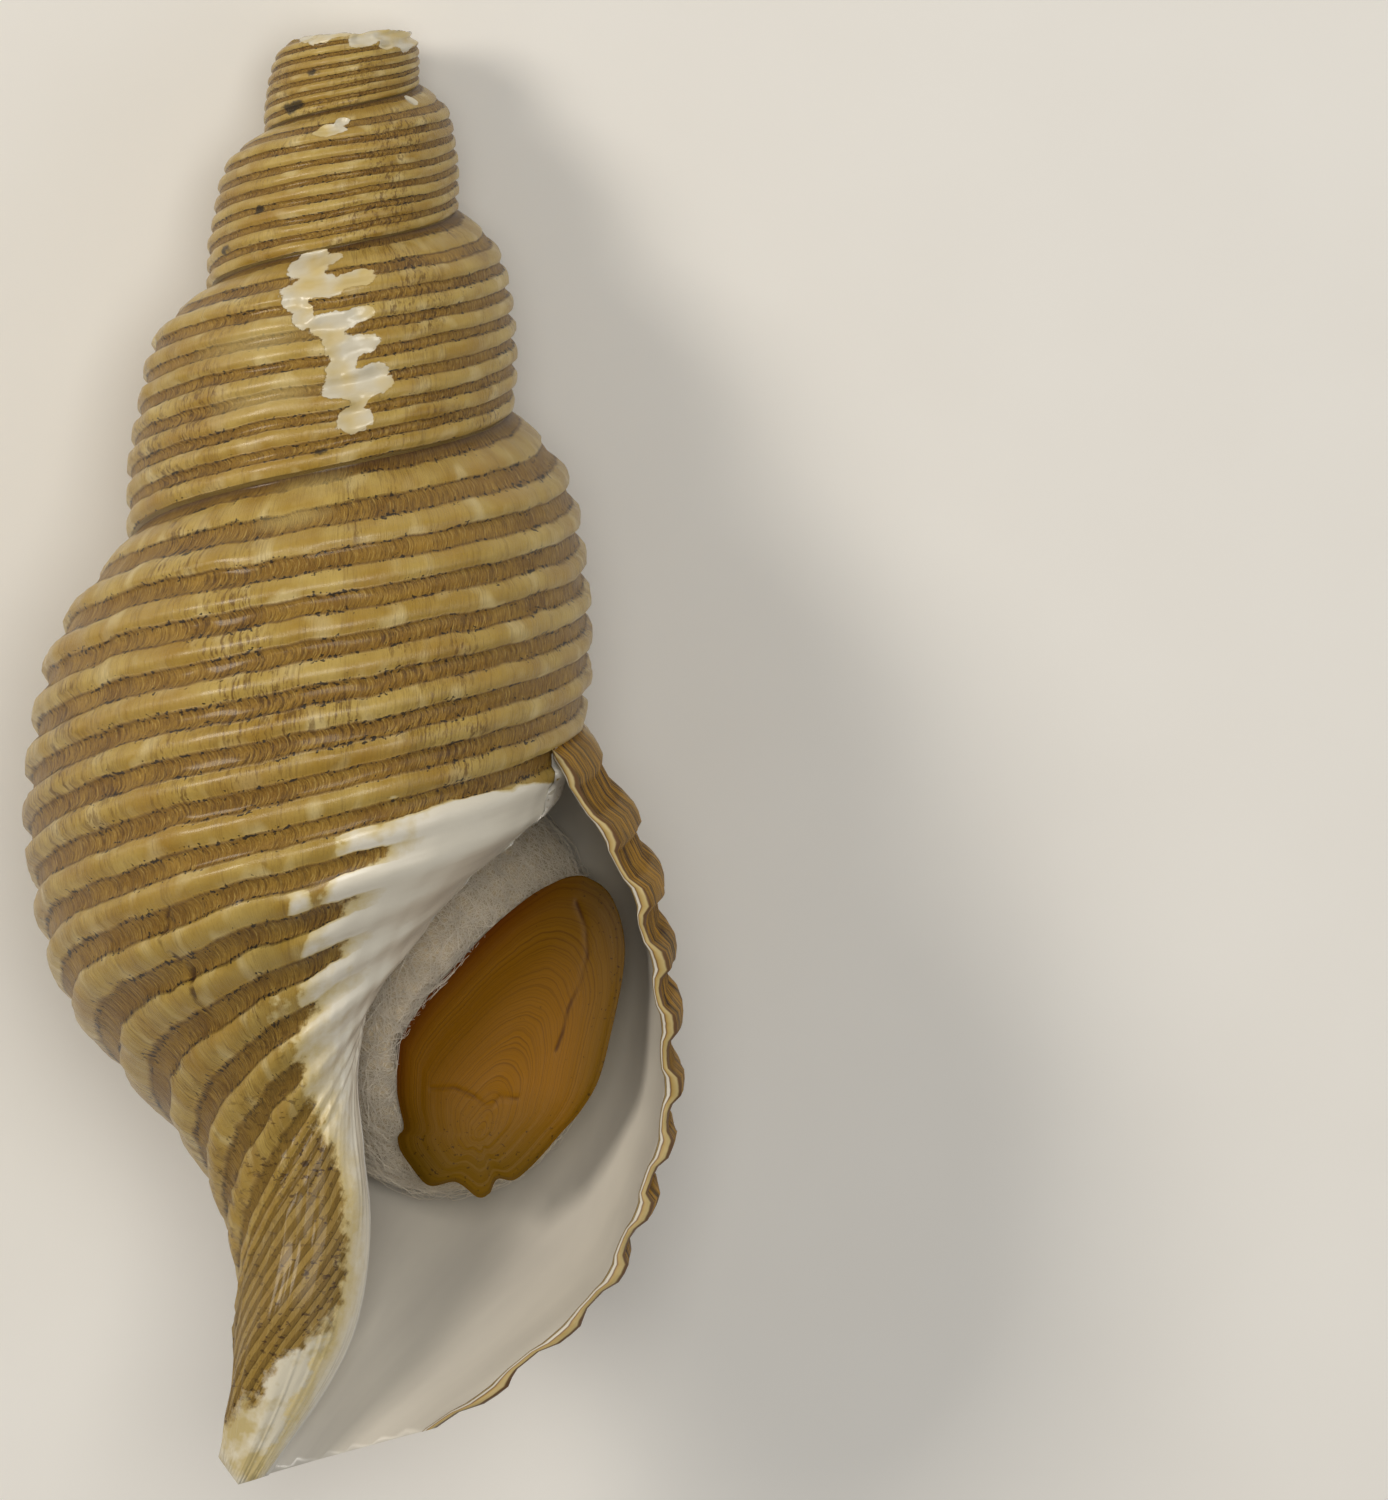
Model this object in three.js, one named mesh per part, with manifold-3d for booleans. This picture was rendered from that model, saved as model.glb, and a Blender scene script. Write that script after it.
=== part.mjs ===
// A northern whelk shell, 100 mm long, lying on its back with the mouth up.
// The shell is one grown piece: a coiled wall with spiral cords outside and an open chamber inside.
// A horny lid (operculum) lies in the mouth on a wad of cotton wool.
// Lengths are millimetres. The shell is shaped in its own frame: "drop" runs down the coiling axis from
// the point where the whorls would vanish, "turn" counts whorls back from the lip, and azimuth 0 points
// at the lip side. A last group lays that frame down with +Z up.

import * as THREE from "three";
import { mergeVertices } from "three/addons/utils/BufferGeometryUtils.js";
import Module from "manifold-3d";

const wasm = await Module();
wasm.setup();

// Growth of the whorls
const SUTURE_DROP = 58.6; // the seam meets the lip this far below the vanishing point
const DROP_RATE = 0.462; // each whorl is exp(0.462) = 1.59 times as tall as the one before
const GIRTH_RATE = 0.31; // the last whorl widens by about exp(0.31 + 0.03) = 1.4
const GIRTH_EARLY_RATE = 0.03; // and the earlier ones by a little more
const NEXT_SEAM = SUTURE_DROP * Math.exp(DROP_RATE); // where the following whorl covers this one
const WHORLS = 4;

// Ends of the shell
const APEX_DROP = 10.9; // the broken tip
const TIP_DROP = 109.9; // the end of the canal
const BOTTOM_DROP = 113.0; // the rough solid runs on to here before it is trimmed

// Radius of a whorl against drop, both at the lip's scale: the last whorl, and the whorls of the spire
const LIP_PROFILE = [
  [58.6, 16.7], [63.9, 19.8], [68.8, 22.3], [72.6, 23.2], [76.7, 23.8], [80.2, 24.0], [85.1, 23.9],
  [88.5, 23.1], [91.8, 22.2], [96.8, 20.4], [100.1, 17.8], [103.5, 14.7], [106.9, 11.3], [110.3, 8.4],
  [115.1, 6.2], [119.9, 4.5], [137.0, 1.0], [185.0, 0.4],
];
const SPIRE_PROFILE = [
  [58.6, 15.7], [62.0, 19.3], [65.9, 21.6], [72.8, 23.0], [78.3, 23.7], [82.5, 24.1], [89.2, 24.1],
  [93.1, 23.8], [100.3, 22.1], [104.2, 17.6], [108.7, 13.2], [112.7, 9.9], [117.6, 4.6], [123.0, 2.2],
  [137.0, 0.8], [185.0, 0.3],
];
const SEAM_REACH = 3.2; // the top of a whorl bends to meet the one above over this drop

// The neck: a pillar along the axis that bends towards the left at its end
const NECK_PROFILE = [
  [60.0, 1.2], [82.0, 1.5], [88.0, 2.4], [92.0, 3.3], [99.0, 3.7], [103.0, 3.1], [109.9, 1.0], [114.0, 0.5],
];
const NECK_BLEND = 1.6;
const BEND_START = 84.0;
const BEND_REACH = 4.6;
const BEND_POWER = 2.5;

// Spiral cords
const CORD_START = 61.0; // the first cord's middle
const CORD_SPACING = 4.3;
const SPIRE_CORDS = 8;
const BODY_CORDS = 14;
const CORD_HEIGHT = 0.85;
const CORD_HALF_TOP = 0.29; // of the spacing: a flat top, then a narrower groove
const PLAIN_ROWS_BELOW = 7;

// The mouth
const LIP_AZIMUTH = -0.1; // the lip stands a little in front of the side
const LIP_LEAN = 0.42; // its upper end leans further forward
const LEAN_TURNS = 0.35;
const WALL = 1.15;
const LIP_WALL = 0.6; // the wall thins towards its growing edge
const THINNING_TURNS = 0.2;
const GLAZE = 0.5; // callus laid on the whorl before, inside the mouth
const CHAMBER_TURNS = 1.9;
const CHAMBER_COLUMNS_PAST_LIP = 4;
const CHAMBER_POINTS = 9;
const CHAMBER_MIN_GAP = 0.6;

const COLUMNS = 26; // steps in one whorl
const TAU = Math.PI * 2;

// Breaks and worn ends: a place on each cut, and the slope of its plane
const APEX_BREAK = { at: [2, TIP_DROP - APEX_DROP, 0], slope: 0.14 };
const CANAL_END = { at: [-4.8, -0.8, 0], slope: 0.31 };
const CANAL_CORNER = { at: [-5.6, 0.1, 0], slope: -0.89 };

// The operculum, in the mouth: its outline about its middle, and how it lies
const LID_MIDDLE = [12.45, 30.46, -4.4];
const LID_SLANT = 0.22; // its left edge lies deeper
const LID_THICKNESS = 0.8;
const LID_DOME = 0.5;
const LID_RINGS = [1, 0.66, 0.33];
const LID_OUTLINE = [
  [5.3, 11.0], [6.9, 9.9], [7.9, 7.4], [8.0, 4.6], [7.3, 0.4], [6.5, -3.0], [5.3, -5.2], [4.1, -6.6],
  [2.1, -8.8], [0.9, -9.9], [-0.3, -10.1], [-0.8, -11.2], [-1.5, -11.2], [-3.1, -10.3], [-5.2, -10.7],
  [-6.7, -9.0], [-7.3, -7.5], [-6.9, -6.6], [-7.4, -4.2], [-7.4, -1.2], [-7.1, -0.2], [-5.5, 2.4],
  [-3.1, 5.2], [-1.1, 7.4], [1.3, 9.5], [2.9, 10.5], [4.1, 11.0],
];

// The wad of cotton wool behind it: an egg shape, kept inside the chamber
const WAD_MIDDLE = [8.5, 33.5, -13.5];
const WAD_RADII = [11.5, 14.5, 9.5];
const WAD_TURNS = 0.5;
const CLEARANCE = 0.4; // between one piece and the next

// The resting place: pitched until the spire and the last whorl both touch, on a worn flat
const REST_PITCH = -0.281;
const FLAT_DEPTH = 0.4;

/** Smooth step from 0 to 1. */
function ease(x) {
  const u = Math.min(1, Math.max(0, x));
  return u * u * (3 - 2 * u);
}

/** Larger of two lengths, with a rounded join. */
function softMax(a, b, join) {
  return (a + b + Math.sqrt((a - b) ** 2 + join ** 2)) / 2;
}

/** Reads a profile at a drop, with a smooth curve through its points. */
function readProfile(points, drop) {
  const last = points.length - 1;
  if (drop <= points[0][0]) return points[0][1];
  if (drop >= points[last][0]) return points[last][1];
  let i = 0;
  while (points[i + 1][0] < drop) i += 1;
  const [x0, y0] = points[i];
  const [x1, y1] = points[i + 1];
  const slope = (a, b) => (points[b][1] - points[a][1]) / (points[b][0] - points[a][0]);
  const m0 = slope(Math.max(0, i - 1), i + 1) * (x1 - x0);
  const m1 = slope(i, Math.min(last, i + 2)) * (x1 - x0);
  const u = (drop - x0) / (x1 - x0);
  const keep = (1 + 2 * u) * (1 - u) ** 2;
  return keep * y0 + (1 - keep) * y1 + u * (1 - u) * ((1 - u) * m0 - u * m1);
}

const dropScale = (turn) => Math.exp(-DROP_RATE * turn);
const girthScale = (turn) => Math.exp(-(GIRTH_RATE + GIRTH_EARLY_RATE * turn) * turn);

/** Radius of one whorl before the neck and the cords are added. */
function whorlRadius(turn, drop) {
  const own = drop / dropScale(turn);
  const spire = Math.min(1, 0.75 * Math.max(0, turn) ** 1.8);
  const mix = (d) => (1 - spire) * readProfile(LIP_PROFILE, d) + spire * readProfile(SPIRE_PROFILE, d);
  return girthScale(turn) * mix(own);
}

/** Radius of the smooth outside, without cords. */
function smoothRadius(turn, drop) {
  const seam = SUTURE_DROP * dropScale(turn);
  const above = whorlRadius(turn + 1, seam);
  const pull = (above - whorlRadius(turn, seam)) * Math.exp(-(drop - seam) / (SEAM_REACH * dropScale(turn)));
  return softMax(whorlRadius(turn, drop) + pull, readProfile(NECK_PROFILE, drop), NECK_BLEND);
}

/** How far the neck's middle lies to the left of the axis. */
function bend(drop) {
  const run = Math.max(0, (drop - BEND_START) / (TIP_DROP - BEND_START));
  return -BEND_REACH * Math.min(1.4, run) ** BEND_POWER;
}

/** Thickness of the coiled wall. */
function wallThickness(turn) {
  return LIP_WALL + (WALL - LIP_WALL) * ease(turn / THINNING_TURNS);
}

/** Azimuth of the growth line of a turn, which leans forward at the top near the lip. */
function azimuth(turn, drop) {
  const own = drop / dropScale(turn);
  const height = Math.max(0, (84 - own) / (84 - SUTURE_DROP));
  const fade = Math.max(0, 1 - Math.max(0, turn) / LEAN_TURNS) ** 2;
  return LIP_AZIMUTH + TAU * turn - LIP_LEAN * height * fade;
}

/** A point of the shell's own frame: x to the lip side, y up the axis, z towards the viewer. */
function place(angle, radius, drop) {
  return [bend(drop) + radius * Math.cos(angle), TIP_DROP - drop, -radius * Math.sin(angle)];
}

/** The rows of the outside: drops at the lip's scale, with the share of a cord's height each has. */
function cordRows() {
  const rows = [{ drop: SUTURE_DROP, lift: 0 }];
  for (let cord = 0; cord < BODY_CORDS; cord += 1) {
    const middle = CORD_START + cord * CORD_SPACING;
    const strength = cord === 0 ? 0.6 : 1;
    rows.push({ drop: middle - CORD_HALF_TOP * CORD_SPACING, lift: strength });
    rows.push({ drop: middle + CORD_HALF_TOP * CORD_SPACING, lift: strength });
    if (cord === SPIRE_CORDS - 1) rows.push({ drop: NEXT_SEAM, lift: 0, seam: true });
    else rows.push({ drop: middle + CORD_SPACING / 2, lift: 0 });
  }
  const from = rows.at(-1).drop;
  const to = (BOTTOM_DROP + 1) / dropScale(1);
  for (let i = 1; i <= PLAIN_ROWS_BELOW; i += 1) {
    rows.push({ drop: from + ((to - from) * i) / PLAIN_ROWS_BELOW, lift: 0 });
  }
  return rows;
}

/** Makes a solid from points and triangles, merging points that fall together. */
function solidFrom(points, triangles) {
  const soup = new THREE.BufferGeometry();
  soup.setAttribute("position", new THREE.Float32BufferAttribute(points.flat(), 3));
  soup.setIndex(triangles.flat());
  return solidOf(soup);
}

/** Makes a solid from a closed geometry. */
function solidOf(geometry) {
  const bare = geometry.clone();
  bare.deleteAttribute("normal");
  bare.deleteAttribute("uv");
  const merged = mergeVertices(bare, 1e-4);
  const index = Array.from(merged.index.array);
  const kept = [];
  for (let i = 0; i < index.length; i += 3) {
    const [a, b, c] = index.slice(i, i + 3);
    if (a !== b && b !== c && c !== a) kept.push(a, b, c);
  }
  const mesh = new wasm.Mesh({
    numProp: 3,
    vertProperties: new Float32Array(merged.attributes.position.array),
    triVerts: new Uint32Array(kept),
  });
  return new wasm.Manifold(mesh);
}

/** Turns a solid back into a geometry. */
function geometryOf(solid) {
  const mesh = solid.getMesh();
  const geometry = new THREE.BufferGeometry();
  geometry.setAttribute("position", new THREE.BufferAttribute(mesh.vertProperties, 3));
  geometry.setIndex(new THREE.BufferAttribute(mesh.triVerts, 1));
  geometry.computeVertexNormals();
  return geometry;
}

/** The solid outside of the shell, corded, with its mouth still filled. */
function outsideSolid() {
  const rows = cordRows();
  const seamRow = rows.findIndex((row) => row.seam);
  const lastRow = rows.length - 1;
  const lastColumn = WHORLS * COLUMNS;
  const points = [];
  const known = new Map();

  const vertex = (column, row) => {
    if (row === seamRow && column + COLUMNS <= lastColumn) return vertex(column + COLUMNS, 0);
    const key = column * (lastRow + 1) + row;
    if (!known.has(key)) {
      const turn = (lastColumn - column) / COLUMNS;
      const drop = Math.min(rows[row].drop * dropScale(turn), BOTTOM_DROP);
      const lift = CORD_HEIGHT * girthScale(turn) * rows[row].lift;
      known.set(key, points.length);
      points.push(place(azimuth(turn, drop), smoothRadius(turn, drop) + lift, drop));
    }
    return known.get(key);
  };
  const onAxis = (drop) => points.push([bend(drop), TIP_DROP - drop, 0]) - 1;

  const triangles = [];
  for (let column = 0; column < lastColumn; column += 1) {
    const deepest = column >= lastColumn - COLUMNS ? lastRow : seamRow;
    for (let row = 0; row < deepest; row += 1) {
      const a = vertex(column, row);
      const b = vertex(column + 1, row);
      const c = vertex(column + 1, row + 1);
      const d = vertex(column, row + 1);
      triangles.push([a, b, c], [a, c, d]);
    }
  }

  // The top closes on the axis, and so does the bottom.
  const top = onAxis(SUTURE_DROP * dropScale(WHORLS) * 0.8);
  for (let column = 0; column < COLUMNS; column += 1) {
    triangles.push([top, vertex(column + 1, 0), vertex(column, 0)]);
  }
  for (let row = 0; row < seamRow; row += 1) {
    triangles.push([top, vertex(0, row), vertex(0, row + 1)]);
  }
  const bottom = onAxis(BOTTOM_DROP);
  for (let column = lastColumn - COLUMNS; column < lastColumn; column += 1) {
    triangles.push([bottom, vertex(column, lastRow), vertex(column + 1, lastRow)]);
  }

  // The mouth closes with a face from the lip to the whorl before.
  let outer = 0;
  let inner = seamRow;
  const before = lastColumn - COLUMNS;
  while (outer < lastRow || inner < lastRow) {
    const outerDrop = outer < lastRow ? rows[outer + 1].drop : Infinity;
    const innerDrop = inner < lastRow ? rows[inner + 1].drop * dropScale(1) : Infinity;
    if (outerDrop <= innerDrop) {
      triangles.push([vertex(lastColumn, outer), vertex(before, inner), vertex(lastColumn, outer + 1)]);
      outer += 1;
    } else {
      triangles.push([vertex(lastColumn, outer), vertex(before, inner), vertex(before, inner + 1)]);
      inner += 1;
    }
  }
  triangles.push([vertex(lastColumn, lastRow), vertex(before, lastRow), bottom]);
  return solidFrom(points, triangles);
}

/** The two sides of the chamber at one turn: the wall side and the pillar side, from top to bottom. */
function chamberSection(turn, inset) {
  const sides = (drop) => {
    const angle = azimuth(turn, drop);
    const wall = smoothRadius(turn, drop) - wallThickness(turn);
    const pillar = smoothRadius(1 + (angle - LIP_AZIMUTH) / TAU, drop) + GLAZE;
    const step = Math.min(inset, 0.4 * (wall - pillar));
    return { angle, wall: wall - step, pillar: pillar + step, gap: wall - pillar, drop };
  };
  const from = SUTURE_DROP * dropScale(turn) + WALL * 0.4;
  const to = BOTTOM_DROP + 2;
  const open = [];
  for (let drop = from; drop <= to; drop += 0.25) {
    if (sides(drop).gap > CHAMBER_MIN_GAP) open.push(drop);
    else if (open.length) break;
  }
  const first = open[0];
  const last = open.at(-1);
  const section = [];
  for (let i = 0; i < CHAMBER_POINTS; i += 1) {
    const share = (1 - Math.cos((Math.PI * i) / (CHAMBER_POINTS - 1))) / 2;
    section.push(sides(first + (last - first) * share));
  }
  const wallSide = section.map((s) => place(s.angle, s.wall, s.drop));
  const pillarSide = section.map((s) => place(s.angle, s.pillar, s.drop)).reverse();
  return [...wallSide, ...pillarSide];
}

/** The coiled hollow, from a number of turns back out to in front of the mouth. */
function chamberSolid(inset, turns) {
  const steps = Math.ceil(turns * COLUMNS) + CHAMBER_COLUMNS_PAST_LIP;
  const rings = [];
  for (let i = 0; i <= steps; i += 1) {
    rings.push(chamberSection((steps - CHAMBER_COLUMNS_PAST_LIP - i) / COLUMNS, inset));
  }
  const size = rings[0].length;
  const points = rings.flat();
  const triangles = [];
  for (let ring = 0; ring < steps; ring += 1) {
    for (let k = 0; k < size; k += 1) {
      const next = (k + 1) % size;
      const a = ring * size + k;
      const b = ring * size + next;
      triangles.push([a, a + size, b + size], [a, b + size, b]);
    }
  }
  // Each end is a strip between the two sides of the chamber.
  for (let k = 0; k < CHAMBER_POINTS - 1; k += 1) {
    const back = size - 1 - k;
    triangles.push([k, k + 1, back], [k + 1, back - 1, back]);
    const end = steps * size;
    triangles.push([end + k, end + back, end + k + 1], [end + k + 1, end + back, end + back - 1]);
  }
  return solidFrom(points, triangles);
}

/** A large block behind a plane across the line of sight; side is 1 above the plane and -1 below. */
function trimBlock(cut, side) {
  const size = 80;
  const block = new THREE.BoxGeometry(size, size, size);
  block.translate(0, (side * size) / 2, 0);
  block.rotateZ(cut.slope);
  block.translate(...cut.at);
  return solidOf(block);
}

/** The block under the resting plane, which shaves the lowest cords to a small flat. */
function floorBlock(solid) {
  const up = new THREE.Vector3(0, Math.sin(REST_PITCH), Math.cos(REST_PITCH));
  const corners = solid.getMesh().vertProperties;
  const corner = new THREE.Vector3();
  let lowest = Infinity;
  for (let i = 0; i < corners.length; i += 3) {
    lowest = Math.min(lowest, corner.fromArray(corners, i).dot(up));
  }
  const size = 200;
  const block = new THREE.BoxGeometry(size, size, size);
  block.translate(0, 0, lowest + FLAT_DEPTH - size / 2);
  block.rotateX(-REST_PITCH);
  return solidOf(block);
}

/** The shell, one grown piece. */
function shellSolid() {
  const grown = outsideSolid()
    .subtract(chamberSolid(0, CHAMBER_TURNS))
    .subtract(trimBlock(APEX_BREAK, 1))
    .subtract(trimBlock(CANAL_END, -1))
    .subtract(trimBlock(CANAL_CORNER, -1));
  return grown.subtract(floorBlock(grown));
}

/** A plate with the operculum's outline, grown by a share and made thicker in front and behind. */
function lidSolid(grow, inFront, behind) {
  const size = LID_OUTLINE.length;
  const points = [];
  for (const face of [LID_THICKNESS / 2 + inFront, -LID_THICKNESS / 2 - behind]) {
    for (const scale of [...LID_RINGS, 0]) {
      const ring = scale === 0 ? [[0, 0]] : LID_OUTLINE;
      for (const [x, y] of ring) {
        const dx = x * scale * grow;
        const depth = LID_SLANT * dx + LID_DOME * (1 - scale ** 2) + face;
        points.push([LID_MIDDLE[0] + dx, LID_MIDDLE[1] + y * scale * grow, LID_MIDDLE[2] + depth]);
      }
    }
  }
  const faceSize = size * LID_RINGS.length + 1;
  const triangles = [];
  for (let k = 0; k < size; k += 1) {
    const next = (k + 1) % size;
    for (let ring = 0; ring < LID_RINGS.length; ring += 1) {
      const a = ring * size + k;
      const b = ring * size + next;
      const inner = ring === LID_RINGS.length - 1;
      const c = inner ? faceSize - 1 : a + size;
      const d = inner ? faceSize - 1 : b + size;
      triangles.push([a, c, b], [a + faceSize, b + faceSize, c + faceSize]);
      if (!inner) triangles.push([b, c, d], [b + faceSize, d + faceSize, c + faceSize]);
    }
    triangles.push([k, next, next + faceSize], [k, next + faceSize, k + faceSize]);
  }
  return solidFrom(points, triangles);
}

/** The wad of cotton wool, which fills the chamber behind the operculum. */
function wadSolid() {
  const egg = new THREE.SphereGeometry(1, 18, 12);
  egg.scale(...WAD_RADII);
  egg.translate(...WAD_MIDDLE);
  const room = lidSolid(1.06, 2 * WAD_RADII[2], CLEARANCE);
  return solidOf(egg).intersect(chamberSolid(CLEARANCE, WAD_TURNS)).subtract(room);
}

/** Wraps a solid as a named mesh with its own material. */
function piece(name, solid, color, roughness) {
  const material = new THREE.MeshStandardMaterial({ color, roughness, metalness: 0 });
  const mesh = new THREE.Mesh(geometryOf(solid), material);
  mesh.name = name;
  return mesh;
}

const specimen = new THREE.Group();
specimen.add(piece("shell", shellSolid(), 0xb89b5e, 0.55));
specimen.add(piece("operculum", lidSolid(1, 0, 0), 0x9a5f1c, 0.45));
specimen.add(piece("cotton_wool", wadSolid(), 0xd9d6cf, 0.95));

// Lying down: the mouth looks up and the spire points along +Y. The origin is under the middle.
specimen.rotation.x = REST_PITCH;
const part = new THREE.Group();
part.add(specimen);
const reach = new THREE.Box3().setFromObject(part, true);
specimen.position.set(-(reach.min.x + reach.max.x) / 2, -(reach.min.y + reach.max.y) / 2, -reach.min.z);

export default part;
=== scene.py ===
"""Looks of a right-handed whelk shell, 100 mm long, that lies mouth up on a pale table.

The shell grows by one spiral law. A place on it is a turn, counted in whorls back from the lip, and a
drop, the distance down the coiling axis from where the whorls would vanish. A drop divided by its turn's
scale is the drop at the lip's scale, called the own drop, which follows each spiral cord. Lengths are
millimetres until a mesh is made, and metres in Blender.
"""

import logging
import math
from collections.abc import Callable
from dataclasses import dataclass, field
from enum import Enum
from functools import partial

import bmesh
import bpy
import numpy as np
from mathutils import Matrix, Vector
from mathutils.bvhtree import BVHTree


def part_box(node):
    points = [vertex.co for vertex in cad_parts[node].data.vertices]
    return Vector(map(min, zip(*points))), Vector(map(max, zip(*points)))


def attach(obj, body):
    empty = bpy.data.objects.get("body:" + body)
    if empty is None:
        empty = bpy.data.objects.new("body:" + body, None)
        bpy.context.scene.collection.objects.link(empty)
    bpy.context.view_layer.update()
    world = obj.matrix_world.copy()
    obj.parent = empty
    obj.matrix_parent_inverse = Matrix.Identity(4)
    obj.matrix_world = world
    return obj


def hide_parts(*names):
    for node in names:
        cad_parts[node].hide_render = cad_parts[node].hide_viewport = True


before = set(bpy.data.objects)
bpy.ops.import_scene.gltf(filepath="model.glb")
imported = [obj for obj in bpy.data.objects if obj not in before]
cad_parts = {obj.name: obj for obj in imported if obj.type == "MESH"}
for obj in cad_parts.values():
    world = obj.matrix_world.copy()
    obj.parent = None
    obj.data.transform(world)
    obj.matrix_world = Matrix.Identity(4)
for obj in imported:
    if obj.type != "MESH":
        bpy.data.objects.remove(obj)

LOG = logging.getLogger("whelk")
MM = 0.001
TAU = 2 * math.pi
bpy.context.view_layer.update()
SEED = 7

Array = np.ndarray
Profile = tuple[tuple[float, float], ...]


def smooth_step(value: Array, low: float = 0.0, high: float = 1.0) -> Array:
    """Eases from 0 at low to 1 at high.

    Args:
        value: Values to ease.
        low: Value that gives 0.
        high: Value that gives 1.

    Returns:
        Eased values from 0 to 1.
    """
    share = np.clip((np.asarray(value, float) - low) / (high - low), 0.0, 1.0)
    return share * share * (3 - 2 * share)


def read_profile(points: Profile, drop: Array) -> Array:
    """Reads a profile with a smooth curve through its points.

    Args:
        points: Pairs of drop and radius, in order.
        drop: Drops to read at.

    Returns:
        Radii at those drops.
    """
    xs = np.array([p[0] for p in points])
    ys = np.array([p[1] for p in points])
    last = len(xs) - 1
    at = np.clip(drop, xs[0], xs[-1])
    i = np.clip(np.searchsorted(xs, at, side="right") - 1, 0, last - 1)
    before = np.maximum(0, i - 1)
    after = np.minimum(last, i + 2)
    width = xs[i + 1] - xs[i]
    slope_in = (ys[i + 1] - ys[before]) / (xs[i + 1] - xs[before]) * width
    slope_out = (ys[after] - ys[i]) / (xs[after] - xs[i]) * width
    u = (at - xs[i]) / width
    keep = (1 + 2 * u) * (1 - u) ** 2
    return keep * ys[i] + (1 - keep) * ys[i + 1] + u * (1 - u) * ((1 - u) * slope_in - u * slope_out)


def ripple(x: Array, y: Array, seed: int) -> Array:
    """Smooth random relief on a plane, the same on each run.

    Args:
        x: First coordinate; the relief varies over about 1.
        y: Second coordinate.
        seed: Picks one relief of many.

    Returns:
        Values from -1 to 1.
    """
    x, y = np.broadcast_arrays(np.asarray(x, float), np.asarray(y, float))
    xi, yi = np.floor(x), np.floor(y)
    u, v = smooth_step(x - xi), smooth_step(y - yi)

    def corner(dx: int, dy: int) -> Array:
        """Random value of a lattice corner."""
        wave = np.sin((xi + dx) * 127.1 + (yi + dy) * 311.7 + seed * 74.7) * 43758.5453
        return (wave - np.floor(wave)) * 2 - 1

    near = corner(0, 0) * (1 - u) + corner(1, 0) * u
    far = corner(0, 1) * (1 - u) + corner(1, 1) * u
    return near * (1 - v) + far * v


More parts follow.
